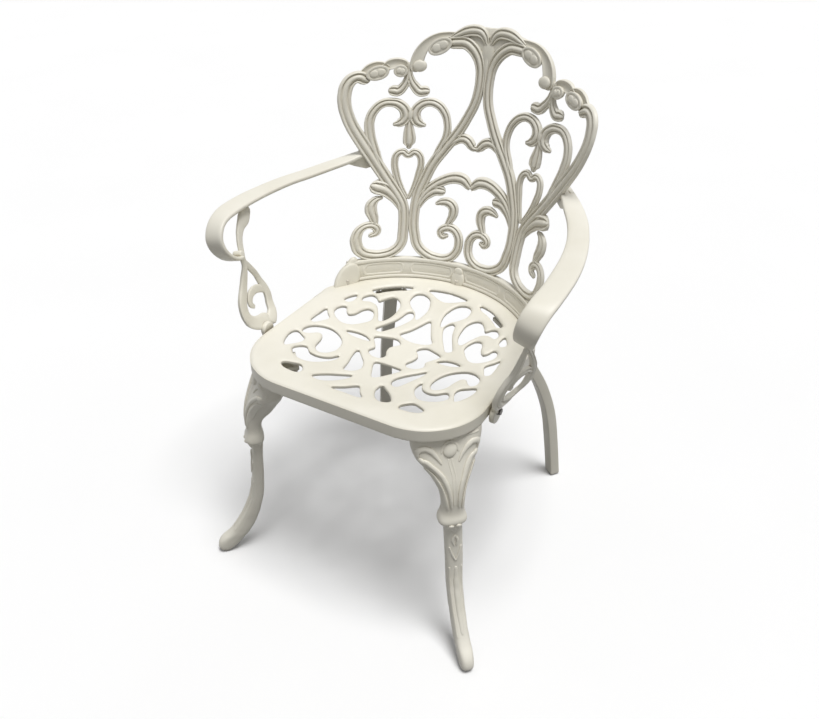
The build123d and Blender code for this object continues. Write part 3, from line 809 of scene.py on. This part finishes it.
@dataclass
class Seat:
    """The dished seat with its lattice of openings and plain skirt."""

    half_width: float = 209.0
    front: float = 228.0
    corner: float = 105.0
    rear: float = 226.5
    side_angle: float = 22.0
    axis_back: float = 17.0
    corner_step: int = 5
    side_steps: int = 8
    rear_steps: int = 24
    skirt_height: float = 22.5
    skirt_wall: float = 8.0
    skirt_drop: float = 0.5
    plate_wall: float = 8.0
    plate_inset: float = 1.0
    dish_depth: float = 36.0
    dish_reach: float = 205.0
    dish_centre: float = -15.0
    dish_power: float = 1.4
    dish_start: float = 8.0
    round_reach: float = 7.0
    round_drop: float = 2.2
    round_depth: float = 2.5
    voxel: float = 1.75
    steps: int = 5
    openings: tuple[tuple[Point2, ...], ...] = (
        ((70, 155), (95, 145), (116, 129), (134, 109), (124, 104), (110, 118), (92, 133), (76, 143)),
        ((18, 118), (28, 140), (45, 147), (58, 140), (60, 122), (50, 108), (36, 98), (26, 82), (19, 98)),
        ((32, 84), (40, 97), (49, 92), (55, 70), (66, 48), (77, 26), (66, 22), (52, 42), (40, 62)),
        ((68, 98), (78, 112), (91, 113), (101, 102), (109, 90), (118, 96), (129, 96), (138, 82), (134, 72),
         (121, 79), (106, 77), (93, 61), (84, 46), (75, 52), (68, 72)),
        ((96, 49), (104, 61), (115, 61), (122, 50), (126, 36), (134, 26), (142, 30), (148, 40), (157, 34),
         (160, 19), (150, 5), (132, -1), (116, 6), (102, 24), (95, 37)),
        ((150, 80), (159, 68), (163, 55), (154, 52), (147, 64)),
        ((17, 10), (28, 21), (44, 18), (66, 6), (58, -8), (50, -20), (54, -34), (44, -45), (28, -45),
         (21, -34), (27, -20), (28, -6)),
        ((66, -11), (80, -3), (98, -5), (114, -14), (102, -19), (84, -17)),
        ((32, -92), (40, -74), (54, -58), (68, -46), (67, -64), (59, -90), (52, -116), (42, -116),
         (34, -106)),
        ((96, -58), (104, -43), (118, -33), (135, -30), (152, -37), (164, -50), (168, -66), (162, -76),
         (153, -70), (144, -57), (135, -57), (129, -70), (125, -90), (116, -102), (106, -102), (98, -92),
         (94, -76)),
        ((80, -84), (88, -102), (102, -114), (119, -116), (132, -106), (141, -112), (146, -127),
         (136, -140), (118, -146), (102, -142), (88, -126), (78, -104)),
        ((148, -90), (158, -84), (172, -80), (176, -94), (170, -116), (160, -130), (153, -119),
         (147, -104)),
        ((154, -8), (165, 3), (173, 11), (175, -10), (175, -33), (167, -38), (159, -23)),
        ((28, -124), (44, -136), (60, -152), (72, -172), (62, -180), (48, -175), (36, -160), (28, -142)),
        ((92, -173), (104, -160), (118, -165), (131, -174), (124, -183), (108, -187), (94, -185)),
    )
    middle_openings: tuple[tuple[Point2, ...], ...] = (
        ((-40, 162), (0, 170), (40, 162), (24, 151), (0, 143), (-24, 151)),
        ((0, 90), (10, 74), (20, 55), (32, 36), (18, 28), (0, 26), (-18, 28), (-32, 36), (-20, 55),
         (-10, 74)),
        ((-26, -60), (-12, -55), (12, -55), (26, -60), (16, -84), (0, -108), (-16, -84)),
        ((0, -150), (14, -168), (28, -186), (0, -187), (-28, -186), (-14, -168)),
    )

    def outline(self, inset: float) -> list[Point2]:
        """Trace the seat's outline, drawn in all round.

        Args:
            inset: How far it is drawn in.

        Returns:
            Closely spaced points, anticlockwise from the middle of the front.
        """
        half, corner, rear = self.half_width - inset, self.corner - inset, self.rear - inset
        front = inset - self.front
        right = [(0.0, front), ((half - corner) / 2, front)]
        right += [
            (half - corner + corner * math.sin(t), front + corner - corner * math.cos(t))
            for t in (math.radians(a) for a in range(0, 91, self.corner_step))
        ]
        start = (rear * math.cos(math.radians(self.side_angle)),
                 rear * math.sin(math.radians(self.side_angle)) - self.axis_back)
        low, sides = right[-1], self.side_steps
        right += [
            (low[0] + (start[0] - low[0]) * k / sides, low[1] + (start[1] - low[1]) * k / sides)
            for k in range(1, sides)
        ]
        right += [
            (rear * math.cos(math.radians(a)), rear * math.sin(math.radians(a)) - self.axis_back)
            for a in (self.side_angle + k * (90 - self.side_angle) / self.rear_steps
                      for k in range(self.rear_steps + 1))
        ]
        return right + [(-x, y) for x, y in reversed(right[1:-1])]

    def drop(self, across: float, along: float) -> float:
        """Give how far the seat is dished at a place in plan.

        Args:
            across: The place's distance to the right.
            along: Its distance to the rear.

        Returns:
            The drop, in millimetres.
        """
        reach = math.hypot(across, along - self.dish_centre) / self.dish_reach
        return self.dish_depth * max(0.0, 1 - reach * reach) ** self.dish_power

    def loops(self) -> list[list[Point2]]:
        """Trace the outline and every opening.

        Returns:
            Closely spaced points, anticlockwise, the outline first.
        """
        holes = [*self.openings, *self.middle_openings]
        holes += [tuple((-x, y) for x, y in hole) for hole in self.openings]
        traced = [self.outline(self.plate_inset)]
        for hole in holes:
            fine = through([hole[-1], *hole, *hole[:2]], self.steps)
            ring = [(x, y) for x, y in fine[self.steps:self.steps * (len(hole) + 1)]]
            area = sum(a[0] * b[1] - b[0] * a[1] for a, b in zip(ring, ring[1:] + ring[:1]))
            traced.append(ring if area > 0 else ring[::-1])
        return traced

    def plate_mesh(self, loops: Sequence[Sequence[Point2]]) -> bpy.types.Object:
        """Model the pierced plate, drawn flat.

        Args:
            loops: The outline and the openings.

        Returns:
            The flat plate.
        """
        corners: list[Vector] = []
        rings: list[list[int]] = []
        for loop in loops:
            rings.append(list(range(len(corners), len(corners) + len(loop))))
            corners.extend(Vector(point) for point in loop)
        points, _, faces, _, _, within = geometry.delaunay_2d_cdt(corners, [], rings, 1, 1e-4)
        # Metal lies within the outline, which is loop 0, and within no opening
        metal = [face for face, of in zip(faces, within) if list(of) == [0]]
        mesh = bpy.data.meshes.new("seat_plate")
        mesh.from_pydata([(p.x * MM, p.y * MM, SEAT_TOP * MM) for p in points], [], metal)
        plate = bpy.data.objects.new("seat_plate", mesh)
        bpy.context.collection.objects.link(plate)
        modify(plate, "SOLIDIFY", thickness=self.plate_wall * MM, offset=-1.0)
        return plate

    def skirt_mesh(self) -> bpy.types.Object:
        """Model the skirt as a wall round the outline.

        Returns:
            The skirt.
        """
        # With a width of 2 the section is in millimetres
        line = Stroke(tuple((x, y, 2.0) for x, y in self.outline(self.skirt_wall / 2)), 0, Section.WALL, True)
        wall = sweep("seat_skirt", [line], Section.WALL)
        middle = Vector((0, 0, (SEAT_TOP - self.skirt_height / 2 - self.skirt_drop) * MM))
        bend(wall, lambda p: Vector((p.x, p.y, p.z * self.skirt_height / 2)) + middle)
        return wall

    def build(self) -> bpy.types.Object:
        """Model the seat.

        Returns:
            The seat as one mesh.
        """
        loops = self.loops()
        seat = join("seat_casting", [self.plate_mesh(loops), self.skirt_mesh()])
        modify(seat, "REMESH", mode="VOXEL", voxel_size=self.voxel * MM, use_smooth_shade=True)
        modify(seat, "SMOOTH", factor=0.5, iterations=3)
        edges = []
        for loop in loops:
            for a, b in zip(loop, [*loop[1:], loop[0]]):
                count = math.ceil(math.dist(a, b))
                edges += [
                    (a[0] + (b[0] - a[0]) * k / count, a[1] + (b[1] - a[1]) * k / count)
                    for k in range(count)
                ]
        near = kdtree.KDTree(len(edges))
        for i, (x, y) in enumerate(edges):
            near.insert((x, y, 0), i)
        near.balance()
        for vertex in seat.data.vertices:
            x, y, z = vertex.co / MM
            inside = ramp(near.find((x, y, 0))[2], 0, self.round_reach)
            crown = self.round_drop * (1 - inside) ** 2 if z > SEAT_TOP - self.round_depth else 0.0
            # The skirt's lower edge stays level
            share = ramp(z - SEAT_TOP + self.skirt_height, 0, self.dish_start)
            vertex.co = Vector((x, y + AXIS_Y, z - crown - share * self.drop(x, y))) * MM
        smooth(seat, angle=60)
        return seat


@dataclass
class Arm:
    """The right armrest, its rolled front and the looped support under it."""

    centre_line: tuple[tuple[float, float, float, float, float, float], ...] = (
        # across, along, height, width, thickness, tilt of the band's width in degrees
        (183, 205, 666, 14, 8, 0), (196, 188, 661, 22, 9, 0), (217, 157, 653, 31, 9, 0),
        (239, 119, 646.5, 33, 9, 0), (254, 82, 643, 33, 9, 0), (266, 42, 642, 34, 9, 0),
        (275, -2, 640, 36, 9, 0), (280, -46, 638, 38, 9, 0), (281.5, -86, 635, 38, 9, 1),
        (280, -112, 631, 38, 9, 6), (277, -130, 624, 37, 9, 12), (273, -142, 613, 37, 9, 16),
        (269.5, -147, 600, 36, 9, 16), (265, -144, 584, 34, 8.5, 16), (260.5, -133, 569, 31, 8, 16),
        (257, -119, 561, 27, 7, 16), (256.5, -109, 560, 23, 6, 16),
    )
    steps: int = 5
    ring_step: int = 15
    ring_powers: Point2 = (0.45, 0.55)
    full_lean: float = 6.0
    roll_at: Point3 = (259.5, -107.0, 564.5)
    roll_radius: float = 5.5
    roll_length: float = 19.0
    roll_tilt: float = 16.0
    gusset: tuple[Point3, ...] = (
        (186, 186, 663), (215, 147, 651), (201, 166, 641), (189, 182, 634), (171, 206, 638),
        (171, 206, 664),
    )
    gusset_wall: float = 8.0
    tab_angle: float = 49.8
    tab_reach: float = 306.0
    tab_axis: float = -42.0
    tab_height: float = 652.0
    tab_size: Point3 = (8.0, 24.0, 28.0)
    tab_edge: float = 2.5
    slab_foot: Point2 = (220.0, 412.0)
    slab_run: Point2 = (60.0, 208.0)
    slab_twist: float = 0.2
    slab_straight: float = -118.0
    slab_thick: float = 7.0
    # Heights up the slab at which the twist and the tuck are nothing and whole
    twist_top: Point2 = (150.0, 90.0)
    twist_foot: Point2 = (0.0, 50.0)
    tuck_top: Point2 = (100.0, 160.0)
    tuck_depth: float = 7.0
    tuck_foot: float = 40.0
    tuck_slope: float = 0.16
    support: tuple[Stroke, ...] = (
        Stroke(((-65, 218, 22), (-74, 207, 23), (-87, 196, 15), (-96, 182, 12), (-101, 165, 11),
                (-103, 148, 11), (-102, 136, 11), (-111, 114, 16), (-121, 97, 18), (-134, 80, 20),
                (-138, 64, 20), (-136, 52, 20), (-127, 40, 22), (-112, 32, 25), (-94, 29, 25))),
        Stroke(((-101, 140, 10), (-89, 124, 11), (-77, 108, 11), (-69, 93, 13), (-62, 78, 16),
                (-59, 62, 18), (-62, 48, 18), (-67, 34, 18), (-79, 24, 20))),
        Stroke(((-66, 74, 12), (-79, 82, 15), (-96, 85, 15), (-110, 79, 14), (-114, 68, 12),
                (-108, 61, 8))),
    )
    lugs: tuple[tuple[float, Point3], ...] = (
        # radius, middle
        (15.0, (215.5, -104.0, 412.0)), (13.0, (218.0, -103.0, 429.0)),
    )
    lug_wall: float = 9.0

    def slab(self, point: Vector) -> Vector:
        """Put a point drawn flat on the support's leaning, slightly twisted slab.

        Args:
            point: The drawn point (along, up the slab, proud), in metres.

        Returns:
            Its place in space.
        """
        run = Vector((self.slab_run[0], 0, self.slab_run[1])).normalized()
        out = Vector((run.z, 0, -run.x))
        foot = Vector((self.slab_foot[0] * MM, AXIS_Y * MM, self.slab_foot[1] * MM))
        thick = self.slab_thick * MM
        up = point.y / MM
        share = ramp(up, *self.twist_top) * ramp(up, *self.twist_foot)
        tuck = self.tuck_depth * ramp(up, *self.tuck_top) + self.tuck_slope * max(0.0, self.tuck_foot - up)
        proud = (thick * math.tanh(point.z / thick)
                 + share * self.slab_twist * (point.x - self.slab_straight * MM))
        return foot + Vector((0, point.x, 0)) + run * point.y + out * (proud - tuck * MM)

    def band(self) -> bpy.types.Object:
        """Model the armrest band with its rolled front.

        Returns:
            The band, with soft edges and a slightly crowned top.
        """
        rows = through(self.centre_line, self.steps)
        corners = squared(self.ring_step, self.ring_powers)
        rings = []
        for i, (x, y, z, width, deep, tilt) in enumerate(rows):
            before, after = rows[max(0, i - 1)], rows[min(len(rows) - 1, i + 1)]
            ahead = Vector(after[:3]) - Vector(before[:3])
            level = Vector((ahead.y, -ahead.x, 0))
            level = -level if level.x < 0 else level
            lean = Vector((math.cos(math.radians(tilt)), 0, -math.sin(math.radians(tilt))))
            share = ramp(tilt, 0, self.full_lean)
            side = (level.normalized() * (1 - share) + lean * share).normalized()
            up = side.cross(ahead).normalized()
            middle = Vector((x, y + AXIS_Y, z))
            rings.append([(middle + side * (c * width / 2) + up * (s * deep / 2)) * MM for c, s in corners])
        return loft("armrest_band", rings)

    def tab(self) -> bpy.types.Object:
        """Model the upright tab behind the back.

        Returns:
            The tab, with rounded edges.
        """
        ahead, _ = directions(self.tab_angle)
        centre = ahead * self.tab_reach + Vector((0, self.tab_axis + AXIS_Y, self.tab_height))
        return box("arm_tab", self.tab_size, math.radians(self.tab_angle), centre * MM, self.tab_edge, 4)

    def gusset_plate(self) -> bpy.types.Object:
        """Model the upright plate under the band's inner edge at the back.

        Returns:
            The plate, with rounded edges.
        """
        first, second = Vector(self.gusset[0]), Vector(self.gusset[1])
        outward = Vector((first.y - second.y, second.x - first.x, 0)).normalized() * self.gusset_wall
        near = [Vector(point) + Vector((0, AXIS_Y, 0)) for point in self.gusset]
        faces = [[point * MM for point in near], [(point + outward) * MM for point in near]]
        wall = loft("arm_gusset", faces)
        modify(wall, "BEVEL", width=EDGE * MM, segments=3)
        return wall

    def round_bar(self, radius: float, length: float, centre: Point3, tilt: float) -> bpy.types.Object:
        """Model a short round bar that lies across the arm.

        Args:
            radius: Its radius.
            length: Its length.
            centre: Its middle.
            tilt: How far its outer end dips, in degrees.

        Returns:
            The bar, with rounded ends.
        """
        middle = Vector(centre) + Vector((0, AXIS_Y, 0))
        return bar("arm_bar", radius, length, 90 + tilt, middle, min(radius / 3, length / 4))

    def build(self) -> bpy.types.Object:
        """Model the right arm.

        Returns:
            The arm as one mesh.
        """
        support = join("arm_support", strands("support", self.support))
        bend(support, self.slab)
        lugs = [self.round_bar(radius, self.lug_wall, middle, 0.0) for radius, middle in self.lugs]
        roll = self.round_bar(self.roll_radius, self.roll_length, self.roll_at, self.roll_tilt)
        arm = join("arm_casting_right", [self.band(), support, *lugs, roll, self.tab(), self.gusset_plate()])
        smooth(arm)
        return arm


@dataclass
class FrontLeg:
    """The right front leg with its leafed knee, collar, shaft and toe."""

    angle: float = -45.0
    squareness: float = 2.9
    steps: int = 3
    ring_step: int = 10
    side_end: float = 0.97
    leaf_sink: float = 1.5
    levels: tuple[tuple[float, float, float, float, float], ...] = (
        # height, inner reach, outer reach, width, shift aside
        (411, 213, 253, 112, -2.5), (400, 213, 257, 111, -2.5), (390, 213, 260, 108, -3),
        (380, 213, 263.5, 103, -4), (370, 215, 267, 95, -4), (360, 218, 271, 83, -2),
        (350, 220, 275, 70, 0), (340, 226, 279, 58, 0), (330, 232, 282, 48, 0), (320, 240, 284, 42, 0),
        (310, 252, 285.5, 38, 0), (300, 258, 286, 36.5, 0), (290, 259.5, 286, 36, 0),
        (282, 259.5, 286.5, 38, -0.5), (276, 258.5, 288, 42, -1), (270, 257.5, 290.5, 45.5, -1),
        (265, 257.5, 291, 46, -1), (261, 258.5, 289, 43, -0.5), (257, 260, 284.5, 35, 0.5),
        (252, 260.5, 283, 31, 1.5), (244, 261, 282, 30, 2), (236, 262, 282, 29.5, 2.5),
        (210, 264, 284, 29, 3.5), (183, 265, 286.5, 28.5, 4.5), (148, 268, 289.5, 27.5, 5),
        (125, 271, 295, 26.5, 5), (102, 277, 304.5, 26, 5.5), (88, 281, 311.5, 25.5, 5.5),
        (78, 285, 317.5, 25, 6), (65, 290, 326, 24.5, 6), (56, 295, 332, 24.5, 6), (48, 300, 338, 25, 6.5),
        (40, 305, 346, 25, 6.5), (33, 311, 355, 25, 7), (26, 317, 361.5, 24.5, 7), (18, 324, 365, 24, 7),
        (11, 332, 365.5, 23, 7), (6, 339, 363, 21, 7), (4, 343, 359, 17, 7),
    )
    leaves: tuple[Stroke, ...] = (
        Stroke(((48, 380, 6), (47, 389, 8), (39, 394, 9), (30, 391, 9), (23, 384, 7), (18, 377, 5),
                (14, 370, 3)), 1.7, Section.ROUND),
        Stroke(((43, 373, 7), (37, 373, 8), (30, 367, 9), (22, 357, 9), (15, 344, 8), (10, 329, 7),
                (7, 312, 6), (6, 296, 4)), 1.8, Section.ROUND),
        Stroke(((37, 358, 7), (32, 351, 8), (25, 339, 8), (18, 322, 7), (14, 306, 6), (12, 294, 4)), 1.8,
               Section.ROUND),
        Stroke(((13, 386, 4), (10.5, 394, 5), (5, 399.5, 5), (0, 401, 5)), 1.2, Section.ROUND),
        Stroke(((2.5, 374, 3), (2.5, 350, 3), (2.4, 325, 3), (2.2, 300, 3)), 1.0, Section.ROUND),
        Stroke(((0, 406, 4), (16, 406, 4), (32, 406, 4), (46, 405.5, 4)), 1.0, Section.ROUND),
    )
    sheath: tuple[Stroke, ...] = (
        Stroke(((6, 259, 11), (6, 251, 10), (4, 245, 6), (1, 240, 3)), 1.8, Section.ROUND),
        Stroke(((1, 231, 4), (4, 223, 5), (2, 213, 3)), 1.8, Section.ROUND),
        Stroke(((0.8, 182, 3.5), (5, 192, 4), (9.5, 208, 3.5)), 1.8, Section.ROUND),
        Stroke(((10.5, 165, 3), (10.3, 140, 3), (10, 110, 3), (9.8, 80, 3), (9.5, 52, 3)), 1.2,
               Section.ROUND),
    )
    lobes: tuple[Bead, ...] = (
        Bead(0, 388, 11, 11, 5, proud=1), Bead(43, 374, 5, 5, 4, proud=1.5),
        Bead(-43, 374, 5, 5, 4, proud=1.5), Bead(0, 250, 5, 11, 4, proud=1),
    )
    rib: Stroke = Stroke(((0.01, 166, 5), (0.01, 140, 9), (0.01, 110, 10), (0.01, 80, 9), (0.01, 58, 6)), 0.8,
                         Section.ROUND)
    flange_reach: Point2 = (188.0, 250.0)
    flange_width: float = 46.0
    sole: Point2 = (351.0, 7.0)
    glide_radius: float = 9.0
    glide_height: float = 4.5
    glide_edge: float = 1.2

    def section(self, height: float) -> tuple[float, float, float, float]:
        """Give the leg's section at a height, between the measured levels.

        Args:
            height: The height.

        Returns:
            The inner reach, outer reach, width and shift aside.
        """
        for high, low in zip(self.levels, self.levels[1:]):
            if high[0] >= height >= low[0]:
                share = (high[0] - height) / (high[0] - low[0])
                return tuple(a + (b - a) * share for a, b in zip(high[1:], low[1:]))
        return self.levels[0][1:] if height > self.levels[0][0] else self.levels[-1][1:]

    def place(self, point: Vector) -> Vector:
        """Put a point drawn flat on the leg's outer face.

        Args:
            point: The drawn point (aside, height, proud), in metres.

        Returns:
            Its place in space.
        """
        inner, outer, width, shift = self.section(point.y / MM)
        share = min(self.side_end, abs(2 * point.x / MM / width))
        swell = (1 - share ** self.squareness) ** (1 / self.squareness)
        middle, half = (inner + outer) / 2, (outer - inner) / 2
        ahead, aside = directions(self.angle)
        reach = (middle + half * swell - self.leaf_sink) * MM + point.z
        return ahead * reach + aside * (point.x + shift * MM) + Vector((0, AXIS_Y * MM, point.y))

    def build(self) -> bpy.types.Object:
        """Model the right front leg.

        Returns:
            The leg as one mesh.
        """
        ahead, aside = directions(self.angle)
        corners = squared(self.ring_step, (2 / self.squareness, 2 / self.squareness))
        rings = []
        for height, inner, outer, width, shift in through(self.levels, self.steps):
            middle, half = (inner + outer) / 2, (outer - inner) / 2
            level = Vector((0, AXIS_Y, height))
            rings.append([
                (ahead * (middle + half * c) + aside * (shift + width / 2 * s) + level) * MM
                for c, s in corners
            ])
        body = loft("front_leg_body", rings)
        leaf = join("front_leg_leaves", strands("knee", [*self.leaves, *self.sheath]))
        modify(leaf, "MIRROR", use_mirror_merge=False)
        leaf = join("front_leg_leaves", [leaf, *strands("shaft", [self.rib]), *beads("knee", self.lobes)])
        bend(leaf, self.place)
        base = flange("front_leg_flange", ahead, self.flange_reach, self.flange_width)
        leg = join("front_leg_casting_right", [body, leaf, base])
        smooth(leg)
        return leg

    def glide(self) -> bpy.types.Object:
        """Model the glide under the right toe.

        Returns:
            The glide, a disc with a rounded edge.
        """
        ahead, aside = directions(self.angle)
        middle = ahead * self.sole[0] + aside * self.sole[1] + Vector((0, AXIS_Y, self.glide_height / 2))
        disc = bar("glide_front_right", self.glide_radius, self.glide_height, 0, middle, self.glide_edge)
        disc.data.name = disc.name
        smooth(disc)
        return disc


@dataclass
class RearLeg:
    """The right rear leg, a plain curved bar."""

    angle: float = 52.2
    width: float = 25.0
    depth: float = 20.0
    # reach, height
    line: tuple[Point2, ...] = (
        (340, 4), (327, 90), (311, 173), (285, 245), (252, 306), (226, 360), (203, 410),
    )
    steps: int = 6
    ring_step: int = 10
    ring_powers: Point2 = (0.16, 0.16)
    flange_reach: Point2 = (180.0, 235.0)
    flange_width: float = 40.0

    def build(self) -> bpy.types.Object:
        """Model the right rear leg.

        Returns:
            The leg as one mesh.
        """
        ahead, aside = directions(self.angle)
        corners = squared(self.ring_step, self.ring_powers)
        rows = through(self.line, self.steps)
        rings = []
        for i, (reach, height) in enumerate(rows):
            before, after = rows[max(0, i - 1)], rows[min(len(rows) - 1, i + 1)]
            along = (ahead * (after[0] - before[0]) + Vector((0, 0, after[1] - before[1]))).normalized()
            # The foot is cut level
            across = ahead if i == 0 else aside.cross(along).normalized()
            thick, wide = across * self.depth / 2, aside * self.width / 2
            level = Vector((0, AXIS_Y, height))
            rings.append([(ahead * reach + thick * c + wide * s + level) * MM for c, s in corners])
        body = loft("rear_leg_bar", rings)
        base = flange("rear_leg_flange", ahead, self.flange_reach, self.flange_width)
        leg = join("rear_leg_casting_right", [body, base])
        smooth(leg, angle=40)
        return leg


@dataclass
class Studio:
    """A pale floor, soft light from above and a little to the right, and the photograph's camera."""

    camera_at: Point3 = (0.5591, -0.9965, 1.1380)
    camera_turn: Point2 = (58.52, 29.84)
    lens: float = 34.0
    sensor: float = 36.0
    shift: Point2 = (0.0048, -0.0433)
    ambient: float = 0.3
    sun_strength: float = 2.42
    sun_turn: Point2 = (14.0, -18.0)
    sun_angle: float = 25.0
    sun_distance: float = 3.0
    floor_size: float = 14.0
    floor_tones: Point2 = (0.93, 0.96)
    floor_cloud: float = 2.0
    floor_roughness: float = 0.9
    floor_bounce: Point3 = (0.12, 0.118, 0.112)

    def looked_at(self, tree: bpy.types.NodeTree) -> bpy.types.NodeSocket:
        """Tell rays that look at a surface from rays that only carry its light.

        Args:
            tree: The node tree to add to.

        Returns:
            A socket that is 1 for camera, glossy and transmission rays and 0 for others.
        """
        path = tree.nodes.new("ShaderNodeLightPath")
        socket = path.outputs["Is Camera Ray"]
        for kind in ("Is Glossy Ray", "Is Transmission Ray"):
            either = tree.nodes.new("ShaderNodeMath")
            either.operation = "MAXIMUM"
            tree.links.new(socket, either.inputs[0])
            tree.links.new(path.outputs[kind], either.inputs[1])
            socket = either.outputs["Value"]
        return socket

    def floor(self) -> bpy.types.Object:
        """Lay the floor.

        Returns:
            The floor.
        """
        deselect()
        bpy.ops.mesh.primitive_plane_add(size=self.floor_size, location=(0, 0, 0))
        floor = bpy.context.view_layer.objects.active
        floor.name = "studio_floor"
        material = bpy.data.materials.new("pale_floor")
        material.use_nodes = True
        tree = material.node_tree
        shader = tree.nodes["Principled BSDF"]
        shader.inputs["Roughness"].default_value = self.floor_roughness
        coordinates = tree.nodes.new("ShaderNodeTexCoord")
        cloud = tree.nodes.new("ShaderNodeTexNoise")
        cloud.inputs["Scale"].default_value = self.floor_cloud
        tree.links.new(coordinates.outputs["Object"], cloud.inputs["Vector"])
        tones = tree.nodes.new("ShaderNodeValToRGB")
        for element, tone in zip(tones.color_ramp.elements, self.floor_tones):
            element.color = (tone, tone, tone, 1)
        tree.links.new(cloud.outputs["Fac"], tones.inputs["Fac"])
        seen = tree.nodes.new("ShaderNodeMixRGB")
        seen.inputs["Color1"].default_value = (*self.floor_bounce, 1)
        tree.links.new(self.looked_at(tree), seen.inputs["Fac"])
        tree.links.new(tones.outputs["Color"], seen.inputs["Color2"])
        tree.links.new(seen.outputs["Color"], shader.inputs["Base Color"])
        floor.data.materials.append(material)
        return floor

    def sun(self) -> None:
        """Hang one very soft lamp overhead, a little to the right."""
        light = bpy.data.lights.new("overhead_light", "SUN")
        light.energy = self.sun_strength
        light.angle = math.radians(self.sun_angle)
        lamp = bpy.data.objects.new("overhead_light", light)
        slope, turn = (math.radians(a) for a in self.sun_turn)
        from_point = Vector((math.sin(slope) * math.cos(turn), math.sin(slope) * math.sin(turn),
                             math.cos(slope)))
        lamp.location = from_point * self.sun_distance
        lamp.rotation_euler = from_point.to_track_quat("Z", "Y").to_euler()
        bpy.context.collection.objects.link(lamp)

    def world(self) -> None:
        """Make a white backdrop that lights the chair at a low level."""
        world = bpy.data.worlds.new("studio")
        bpy.context.scene.world = world
        world.use_nodes = True
        tree = world.node_tree
        backdrop = tree.nodes["Background"]
        level = tree.nodes.new("ShaderNodeMapRange")
        level.inputs["To Min"].default_value = self.ambient
        level.inputs["To Max"].default_value = 1.0
        tree.links.new(self.looked_at(tree), level.inputs["Value"])
        backdrop.inputs["Color"].default_value = (1, 1, 1, 1)
        tree.links.new(level.outputs["Result"], backdrop.inputs["Strength"])

    def camera(self) -> None:
        """Set the camera at the photograph's place."""
        data = bpy.data.cameras.new("photo_camera")
        data.lens = self.lens
        data.sensor_width = self.sensor
        data.shift_x, data.shift_y = self.shift
        camera = bpy.data.objects.new("photo_camera", data)
        camera.location = self.camera_at
        camera.rotation_euler = (math.radians(self.camera_turn[0]), 0, math.radians(self.camera_turn[1]))
        bpy.context.collection.objects.link(camera)
        bpy.context.scene.camera = camera

    def build(self) -> None:
        """Set up the floor, light and camera."""
        self.floor()
        self.world()
        self.sun()
        self.camera()
        bpy.context.scene.view_settings.view_transform = "Standard"


class Slot(Enum):
    """Names of two material slots, the coat's and the nylon's."""

    COAT = "powder_coat"
    NYLON = "nylon"


def fit(piece: bpy.types.Object, node: str, coat: bpy.types.Material, slot: Slot = Slot.COAT) -> None:
    """Dress a piece, let it ride the chair and stand for its plain solid.

    Args:
        piece: The piece.
        node: The solid that it stands for.
        coat: Its finish.
        slot: Not used.
    """
    piece.data.materials.clear()
    piece.data.materials.append(coat)
    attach(piece, "root")
    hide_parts(node)
    LOG.info("%s: %d faces, stands for %s", piece.name, len(piece.data.polygons), node)


def dress_hardware(nylon: bpy.types.Material) -> None:
    """Give the rear glides, bolts and washers their finishes.

    Args:
        nylon: The glides' finish.
    """
    steel, coated = DARK_STEEL.make(), COATED_STEEL.make()
    for name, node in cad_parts.items():
        if name.endswith("_glide"):
            finish = nylon
        elif name.startswith("arm_seat"):
            finish = steel
        elif name.endswith(("_bolts", "_washers")):
            finish = coated
        else:
            continue
        node.data.materials.clear()
        node.data.materials.append(finish)
        LOG.info("%s: %s", name, finish.name)


def main() -> None:
    """Model, dress and light the chair."""
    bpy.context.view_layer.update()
    coat, nylon = POWDER_COAT.make(), NYLON.make()
    dress_hardware(nylon)
    fit(Seat().build(), "seat", coat)
    fit(Backrest().build(), "backrest", coat)
    front = FrontLeg()
    for name, right in (("arm", Arm().build()), ("front_leg", front.build()),
                        ("rear_leg", RearLeg().build())):
        left = mirrored(right, right.name.replace("right", "left"))
        fit(right, f"{name}_right", coat)
        fit(left, f"{name}_left", coat)
    glide = front.glide()
    other = mirrored(glide, "glide_front_left")
    fit(glide, "front_right_glide", nylon, Slot.NYLON)
    fit(other, "front_left_glide", nylon, Slot.NYLON)
    Studio().build()


if __name__ == "__main__":
    logging.basicConfig(level=logging.INFO)
    main()
